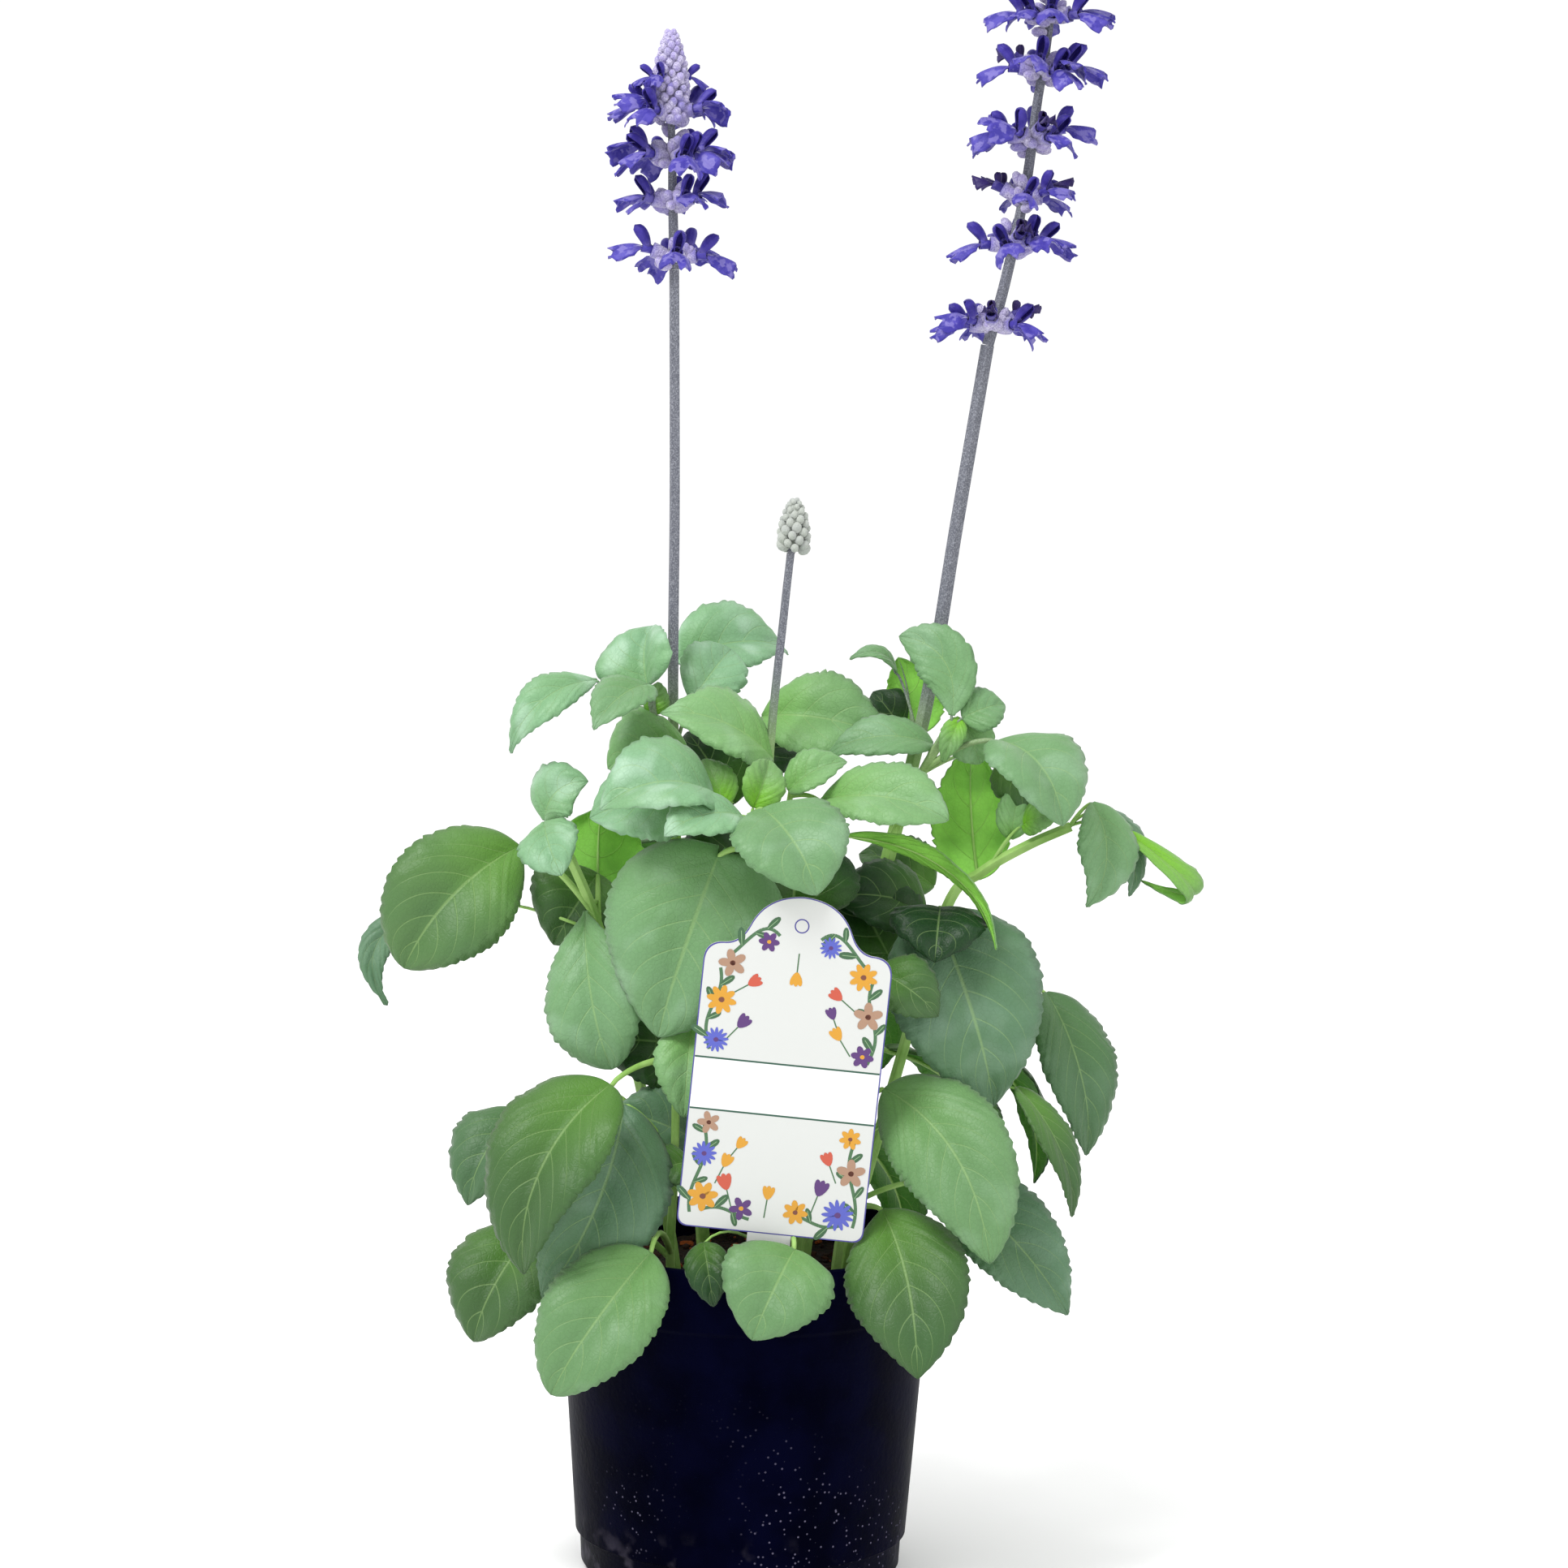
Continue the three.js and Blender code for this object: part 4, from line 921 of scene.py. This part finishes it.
grow(
    "right_flowering_stem", 2.1,
    ((18, 6, 72), (21, 6, 116), (32, 7, 180), (41, 8, 226), (59, 8, 305), (69, 8, 373),
     (78, 8, 434)),
    Leaf((68, -8, 301), (68, -8, 306), (49, 2, 333), 21, (-95, 12), SAGE, arch=0.06, bend=0.24,
         widest=0.5, point=0.8),
    Leaf(296, (49, 12, 319), (32, 8, 324), 9, (-90, 60), SAGE, arch=0.3),
    Leaf(282, (55, 14, 296), (50, 20, 324), 25, (70, 0), LIME, fold=28),
    Leaf((68, -8, 301), (72, -7, 305), (87, -3, 310), 18, (-80, 35), SAGE),
    Leaf((59, -1, 286), (84, -14, 298), (107, -38, 272), 38, (-60, 35), SAGE, arch=0.2, widest=0.45,
         point=0.85),
    Leaf((59, -1, 285), (62, 0, 295), (24, -2, 291), 20, (-90, 50), SAGE, arch=0.16),
    Leaf(222, (60, 18, 233), (36, 24, 229), 22, (-90, 35), SHADOWED_GREEN),
    Leaf(212, (52, 24, 226), (70, 52, 196), 30, (45, 45), SHADOWED_GREEN),
    Leaf(288, (55, 22, 293), (41, 26, 311), 24, (-90, 20), SHADOWED_GREEN),
    Leaf((59, -1, 285), (88, 8, 292), (103, 2, 271), 22, (-120, 10), MOSS),
    Leaf((68, -8, 300), (71, -6, 305), (65, -12, 290), 9, (-90, 20), LIME),
    Leaf((68, -8, 300), (72, -4, 304), (79, 0, 288), 17, (-90, 10), APPLE),
    Leaf(240, (64, 14, 243), (37, 20, 254), 25, (-90, 40), MOSS),
    Leaf(228, (61, 2, 236), (28, -8, 242), 32, (-90, 40), SHADOWED_GREEN),
    Leaf(214, (50, -2, 217), (32, 4, 247), 40, (-90, 15), SHADOWED_GREEN),
    branches=(((49, 8, 262), (58, 0, 284), (68, -8, 303)),))

grow(
    "left_leafy_stem", 1.6,
    ((-22, -4, 72), (-26, -5, 116), (-42, -8, 190), (-55, -3, 232), (-69, -6, 264)),
    Leaf(260, (-73, -5, 266), (-58, -10, 281), 23, (-105, 30), MINT, bend=-0.16, widest=0.45,
         point=1),
    Leaf(259, (-73, -10, 266), (-66, -28, 250), 23, (-110, 30), MINT, widest=0.5),
    Leaf(234, (-82, 0, 256), (-121, -20, 215), 46, (-85, 20), FERN, arch=0.1, bend=0.07, widest=0.5,
         point=0.7),
    Leaf(226, (-122, 24, 228), (-129, 16, 196), 12, (-95, 15), SLATE, arch=0.05, bend=0.27,
         widest=0.35, point=1.2, droop=0),
    Leaf(228, (-55, 14, 245), (-70, 2, 221), 38, (-95, 10), MOSS),
    Leaf(236, (-54, 5, 236), (-55, 28, 267), 38, (100, -5), LIME, widest=0.55),
    Leaf(224, (-58, -10, 235), (-48, -30, 182), 35, (-110, 15), SAGE, widest=0.6, point=0.7),
    Leaf(150, (-80, -8, 164), (-98, -25, 133), 32, (-120, 25), PINE),
    Leaf(160, (-60, 26, 166), (-88, 48, 122), 34, (155, 35), SHADOWED_GREEN))

grow(
    "right_leafy_stem", 1.6,
    ((32, -4, 72), (36, -5, 116), (52, -6, 180), (68, 0, 237), (80, 1, 250), (96, 0, 260),
     (111, 0, 267)),
    Leaf((110, 0, 266), (118, -4, 276), (117, -14, 240), 25, (-60, 20), SAGE, bend=-0.1, point=1.1),
    Leaf((110, 0, 267), (121, 1, 273), (133, -4, 243), 18, (-40, 15), SLATE, bend=-0.1),
    Leaf((110, 0, 267), (126, 2, 268), (136, 4, 247), 14, (-35, 8), LIME, arch=0.84, skew=0.8),
    Leaf((80, 1, 249), (79, 5, 247), (76, 16, 295), 29, (100, 0), LIME),
    Leaf((84, 1, 252), (90, 2, 262), (93, 6, 282), 13, (-90, 20), APPLE),
    Leaf(232, (63, -17, 239), (86, -33, 172), 56, (-85, 30), SLATE),
    Leaf(216, (104, 0, 208), (120, -18, 153), 31, (-60, 15), PINE),
    Leaf(190, (78, 14, 190), (106, 30, 134), 36, (20, 35), SHADOWED_GREEN),
    # Painted shadow: this leaf lies in deep shade under the leaves above and is coloured
    # near-black.
    Leaf(226, (65, -26, 241), (63, -44, 225), 34, (-90, 50), DARKEST_SHADOW, arch=0.1),
    Leaf((84, 1, 254), (94, 0, 267), (107, -6, 272), 13, (-90, 35), LIME))

grow(
    "front_left_leafy_stem", 1.5,
    ((-24, -24, 72), (-26, -26, 116), (-25, -30, 150), (-25, -36, 192)),
    Leaf(188, (-47, -50, 181), (-76, -76, 120), 45, (-115, 20), MOSS, bend=0.07, fold=16,
         widest=0.37, point=0.9),
    Leaf(190, (-20, -31, 199), (-22, -45, 169), 24, (-90, 15), APPLE),
    Leaf(152, (-43, -32, 171), (-69, -57, 107), 47, (-80, 10), SLATE, bend=-0.05),
    Leaf(116, (-74, -26, 124), (-94, -44, 89), 40, (-110, 30), MOSS, rise=0.24, point=0.8),
    Leaf(118, (-32, -59, 125), (-65, -83, 81), 41, (-97, 30), JADE, arch=0.08, rise=0.2,
         widest=0.45, point=0.7),
    Leaf(150, (-36, -24, 158), (-54, -22, 158), 20, (-90, 40), SHADOWED_GREEN),
    Leaf(140, (-20, -36, 152), (-34, -42, 148), 17, (-90, 35), MOSS),
    Leaf(178, (-24, -10, 188), (-53, -18, 190), 36, (-95, 30), SHADOWED_GREEN),
    Leaf(150, (-19, -24, 158), (-47, -26, 168), 30, (-90, 30), SLATE))

grow(
    "front_right_leafy_stem", 1.5,
    ((30, -26, 72), (32, -27, 116), (38, -32, 160), (40, -38, 222)),
    Leaf(216, (43, -41, 221), (65, -49, 207), 24, (-80, 30), MOSS),
    Leaf(172, (47, -36, 179), (83, -74, 127), 40, (-100, 25), JADE, arch=0.07, bend=-0.12, fold=5,
         widest=0.42, point=0.8),
    Leaf(134, (47, -43, 138), (59, -82, 89), 43, (-98, 20), MOSS, arch=0.06, bend=-0.06, fold=6,
         widest=0.45),
    Leaf(136, (72, -28, 145), (113, -46, 103), 34, (-70, 12), SLATE),
    Leaf(160, (93, -28, 179), (114, -44, 137), 17, (-45, 15), MOSS, point=0.9))

grow(
    "front_leafy_stem", 1.3,
    ((14, -34, 72), (15, -35, 116)),
    Leaf(115, (17, -59, 127), (3, -79, 100), 40, (-90, 28), JADE, rise=0.3, point=0.85),
    Leaf(112, (-14, -60, 129), (-10, -70, 109), 16, (-90, 20), SHADOWED_GREEN, rise=0.2))

grow(
    "back_left_leafy_stem", 1.6,
    ((-14, 30, 72), (-17, 33, 116), (-24, 38, 190), (-27, 40, 222)),
    Leaf(200, (-30, 46, 208), (-62, 86, 168), 42, (130, 40), SHADOWED_GREEN),
    Leaf(216, (-24, 50, 226), (-22, 98, 184), 42, (95, 40), SHADOWED_GREEN),
    Leaf(132, (-38, 44, 150), (-66, 72, 102), 38, (140, 30), SHADOWED_GREEN))

grow(
    "back_right_leafy_stem", 1.6,
    ((16, 30, 72), (19, 33, 116), (26, 38, 190), (28, 40, 222)),
    Leaf(196, (32, 48, 206), (50, 98, 164), 42, (70, 40), SHADOWED_GREEN),
    Leaf(170, (50, 38, 180), (92, 66, 136), 40, (35, 35), SHADOWED_GREEN),
    Leaf(130, (36, 44, 148), (60, 76, 100), 36, (50, 30), SHADOWED_GREEN),
    Leaf(120, (2, 50, 146), (-6, 92, 98), 38, (95, 30), SHADOWED_GREEN),
    Leaf(218, (12, 52, 242), (22, 88, 212), 32, (75, 45), SHADOWED_GREEN))

# Florets: a mealy lilac calyx holds a short tube that opens in a broad, ruffled lower lip, which
# droops, and an upright hood like a finger. A few are modelled, one of them withered, and the
# rest are copies of them.
LIP_RIB = np.array(((11.2, 0, 0.2), (16.5, 0, 0.6), (21.8, 0, -5.6)))
HOOD_RIB = np.array(((10.2, 0, 1.0), (12.6, 0, 4.8), (16.8, 0, 6.8)))
HOOD_BACK = np.array((-0.64, 0, 0.76))
FLORET_KINDS = 5

petal_skin = Finish("petal_skin", Roughness=0.5, Specular_IOR_Level=0.25, Sheen_Weight=0.2,
                    Sheen_Roughness=0.4, Sheen_Tint=(0.6, 0.55, 1, 1))
along, span, _ = petal_skin.parts(petal_skin.node("TexCoord", output="UV"))
hooded, withered = map(petal_skin.read, ("hooded", "withered"))
streak = abs(abs(span * 2 - 1) - 0.2).between(0.05, 0.13)
mark = (1 - streak) * (1 - along.between(0.12, 0.34)) * (1 - hooded)
patch = petal_skin.cloud(3.2 * MM, 2.0).between(0.5, 0.58)
lip_blue = petal_skin.coated(
    paint(54, 47, 134), (petal_skin.cloud(5 * MM).between(0.4, 0.6), paint(72, 64, 152)),
    (patch * 0.7 * along.between(0.1, 0.5), paint(116, 108, 172)))
hood_blue = petal_skin.blend(petal_skin.cloud(3 * MM).between(0.3, 0.7), paint(42, 32, 116),
                             paint(60, 50, 138))
petal_skin.feed(Base_Color=petal_skin.coated(
    lip_blue, (hooded, hood_blue),
    ((1 - along.between(0.0, 0.35)) * 0.5, paint(118, 108, 176)),
    (mark * 0.9, paint(200, 196, 226)),
    (withered * 0.85, paint(36, 20, 64))))
petal_skin.relief((span * 42.0).sine() * 0.3 + petal_skin.cloud(0.7 * MM), 0.15 * MM)

calyx_skin = Finish("mealy_calyx", Roughness=0.85, Specular_IOR_Level=0.3, Sheen_Weight=0.3,
                    Sheen_Roughness=0.6)
tinted = calyx_skin.read("tinted")
wool = calyx_skin.cloud(0.5 * MM, 4.0)
tinge = calyx_skin.cloud(3.5 * MM).between(0.44, 0.62)
calyx_skin.feed(Base_Color=calyx_skin.coated(
    paint(134, 126, 162), (wool.between(0.35, 0.65), paint(188, 182, 208)),
    (tinge * 0.5, paint(136, 122, 186)),
    (tinted * -1, paint(158, 166, 148)),
    (tinted, paint(70, 58, 158))))
calyx_skin.relief(wool, 0.35 * MM)


def model_floret(seed, withered):
    """One floret that points along +X, with its own ruffles."""
    luck = np.random.default_rng(seed)
    ruffle, lean, flare = luck.random() * 6, luck.normal() * 0.7, 0.9 + 0.25 * luck.random()
    shrink = 0.45 if withered else 1

    def lip(along, across):
        reach = np.abs(across)
        edge = 1 - 0.24 * reach ** 3 - 0.16 * np.exp(-(across / 0.15) ** 2)
        edge = edge + 0.05 * np.sin(9 * across + ruffle)
        rib = bow(*LIP_RIB, along * edge * shrink ** 0.5)
        side_lobe = 2.1 * np.exp(-((along - 0.32) / 0.15) ** 2)
        end_lobe = 4.9 * flare * np.sin(pi * np.clip((along - 0.22) / 1.2, 0, 1)) ** 0.9
        half = (1.5 + side_lobe + end_lobe) * shrink
        drop = half * reach ** 1.7 * (0.3 + 0.35 * along)
        frill = 0.95 * np.sin(6 * across + ruffle) * along ** 2
        frill = frill + 0.55 * np.sin(14 * across + 1.7 * ruffle) * along ** 3
        shift = np.stack([-0.12 * drop, across * half * 0.94 + lean * along, -drop], axis=1)
        crumple = np.array((0.6, 0, 0.7)) * (1.6 if withered else 1)
        return rib + shift + frill[:, None] * crumple

    def hood(along, across):
        size = (1.45 + 1.0 * np.sin(pi * along * 0.62)) * np.sqrt(np.clip(1 - along ** 6, 0, 1))
        turn = across[:, None] * 2.5
        rib = bow(*HOOD_RIB, along * shrink)
        hollow = 0.9 * (np.sin(turn) * np.array((0, 1, 0)) + np.cos(turn) * HOOD_BACK)
        sway = lean * along[:, None] * np.array((0, 0.6, 0))
        return rib + size[:, None] * shrink ** 0.5 * hollow + sway

    def round_about(forward, size, turn, lift):
        return np.stack([forward, size * np.sin(turn), lift + size * np.cos(turn)], axis=1)

    def tube(along, across):
        size = 1.1 + 1.0 * along ** 1.4
        return round_about(6 + 5.8 * along, size, (across + 1) * pi, 0.4 * along)

    def cup(along, across):
        turn = (across + 1) * pi
        size = 0.8 + 1.55 * np.sin(pi * along * 0.62) ** 0.8
        size = size * (1 + 0.08 * np.cos(5 * turn)) + 0.3 * along ** 4 * np.cos(3 * turn)
        return round_about(0.4 + 7.8 * along, size, turn, 0.2 * along)

    petals = [shell(9, 16, lip, 0.35, [petal_skin], hooded=0, withered=withered),
              shell(9, 12, hood, 0.4, [petal_skin], hooded=1, withered=withered),
              shell(3, 12, tube, 0.3, [petal_skin], hooded=0.3, withered=withered * 0.4)]
    calyx = shell(7, 15, cup, 0.4, [calyx_skin], tinted=0)
    tint = calyx.data.attributes["tinted"].data
    for point, shade in zip(calyx.data.vertices, tint):
        shade.value = min(max((point.co.x / MM - 5.4) / 4.5, 0), 0.7)
    return joined([*petals, calyx])


florets = [model_floret(seed, seed == FLORET_KINDS - 1) for seed in range(FLORET_KINDS)]
bpy.ops.object.select_all(action="DESELECT")
bpy.ops.mesh.primitive_ico_sphere_add(subdivisions=2, radius=1)
bud = bpy.context.object
bpy.ops.object.shade_smooth()
bud.data.materials.append(calyx_skin.material)

# Flower heads: whorls of florets up a stalk, woolly buds packed between them, and at the top
# a cone of buds that haven't opened.
BUD_SIZE = 1.5
BUDS_ON_CONE = 0.5
GOLDEN_TURN = 2.39996
CALYCES = 15


def copy_of(model, place):
    """A copy of a model with a mesh of its own, put at its place."""
    copy = bpy.data.objects.new(model.name, model.data.copy())
    copy.data.transform(place)
    bpy.context.collection.objects.link(copy)
    return copy


def grown_bud(spot, out, width, length, tinted):
    """A round woolly bud at a spot, pointing out, with a share of violet in its colour."""
    tilt = Vector(out).to_track_quat("Z", "Y").to_matrix().to_4x4()
    shape = Matrix.Diagonal((width * MM, width * MM, length * MM, 1))
    copy = copy_of(bud, Matrix.Translation(Vector(spot) * MM) @ tilt @ shape)
    mark_points(copy.data, tinted=tinted)
    return copy


def bud_cone(foot, length, radius, young):
    """A cone of buds in close spiral rows round a core, each one pointing up and out. Those of a
    young cone are all green."""
    core = Vector(foot) + Vector((0, 0, length * 0.45))
    buds = [grown_bud(core, (0, 0, 1), radius * 0.68, length * 0.46, -young)]
    count = int(length * radius * BUDS_ON_CONE)
    for k in range(count):
        share = (k + 0.5) / count
        height = length * (0.03 + 0.9 * share)
        size = BUD_SIZE * (1.2 - 0.45 * share) * (0.8 + 0.4 * dice.random())
        reach = radius * sin(pi * (0.3 + 0.7 * height / length)) ** 0.7 - size * 0.6
        out = Vector((cos(k * GOLDEN_TURN), sin(k * GOLDEN_TURN), 0))
        spot = Vector(foot) + out * max(reach, 0.2) + Vector((0, 0, height))
        tinted = -young or 0.8 * max(0, dice.random() - 0.35 - 0.5 * share)
        tip = out + Vector((0, 0, 0.7 + 1.8 * share))
        buds.append(grown_bud(spot, tip, size, size * 1.25, tinted))
    return buds


def flower(name, radius, route, cone, whorls=()):
    """Models one head, joined to one piece. A whorl is its height, its florets' size, the ways
    that they point, and the ways that its withered ones point."""
    line = flowing(route)
    taper = np.linspace(radius, radius * 0.6, len(line))
    parts = [draw_rods("rachis", [(line, taper)], ring_of(16, 0.14))]
    luck = np.random.default_rng(len(whorls))
    for height, size, azimuths, *withered in whorls:
        centre = Vector(at_height(route, height))
        for azimuth in azimuths:
            pitch = 0.42 * luck.random() - 0.02
            turn = Matrix.Rotation(radians(azimuth), 4, "Z") @ Matrix.Rotation(-pitch, 4, "Y")
            turn = turn @ Matrix.Rotation(0.3 * luck.normal(), 4, "X")
            place = Matrix.Translation(centre * MM) @ turn @ Matrix.Scale(size, 4)
            parts.append(copy_of(florets[luck.integers(FLORET_KINDS - 1)], place))
        for azimuth in withered:
            place = Matrix.Translation(centre * MM) @ Matrix.Rotation(radians(azimuth), 4, "Z")
            parts.append(copy_of(florets[-1], place @ Matrix.Rotation(-0.5, 4, "Y")))
        for k in range(CALYCES):
            turn = 2 * pi * (k + luck.random() * 0.6) / CALYCES
            out = Vector((cos(turn), sin(turn), 1.5 * luck.random() - 0.15)).normalized()
            spot = centre + out * 4.6 * size + Vector((0, 0, 2.2 * luck.normal()))
            tinted = 0.9 * max(0, luck.random() - 0.5)
            parts.append(grown_bud(spot, out, 1.9, 3.5, tinted))
    parts += bud_cone(*cone, young=0 if whorls else 0.8)
    spike = joined(parts)
    spike.name = name + "_grown"
    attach(spike, "root")
    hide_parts(name)


flower(
    "left_flower_head", 1.6,
    ((-31.5, 12, 458.05), (-32.5, 12, 484), (-33, 12, 499), (-34, 12, 524)),
    cone=((-33.9, 12, 508), 34, 6.4),
    whorls=(
        (462, 1, (186, -10, -84, 112, 55)),
        (480, 0.92, (196, -22, -62, 80, 140)),
        (497, 1, (180, 214, -6, -42, -66, 60, 118)),
        (512, 0.96, (176, 214, -8, 96, -128, 50)),
        (524, 0.62, (-118, 190, 20, 110))))

flower(
    "right_flower_head", 1.8,
    ((78.1, 8, 434.05), (84, 8, 458), (90, 8, 490), (93, 8, 517), (96, 8, 539), (98, 8, 566),
     (99, 8, 600)),
    cone=((99, 8, 588), 34, 6),
    whorls=(
        (440, 0.95, (176, 210, -34, 40, 110), -96, 20),
        (468, 1, (190, -104, -12, -50, 90), -76, 64),
        (484, 0.85, (-84, -22, 28, 100), 176, 140, 6),
        (505, 1, (160, 196, -126, -4, -50, 84), -70),
        (528, 1, (184, -100, 6, -44, -64, 90), 150),
        (546, 1, (178, 0, -90, -30, -130, 90)),
        (564, 0.95, (20, 92, 164, 236, 308)),
        (581, 0.8, (-16, 74, 164, 254))))

flower("bud_head", 1.3, ((11.03, -2, 361.05), (12, -2, 366)), cone=((12, -2, 361.6), 19, 5.4))

for model in (*florets, bud):
    bpy.data.objects.remove(model)
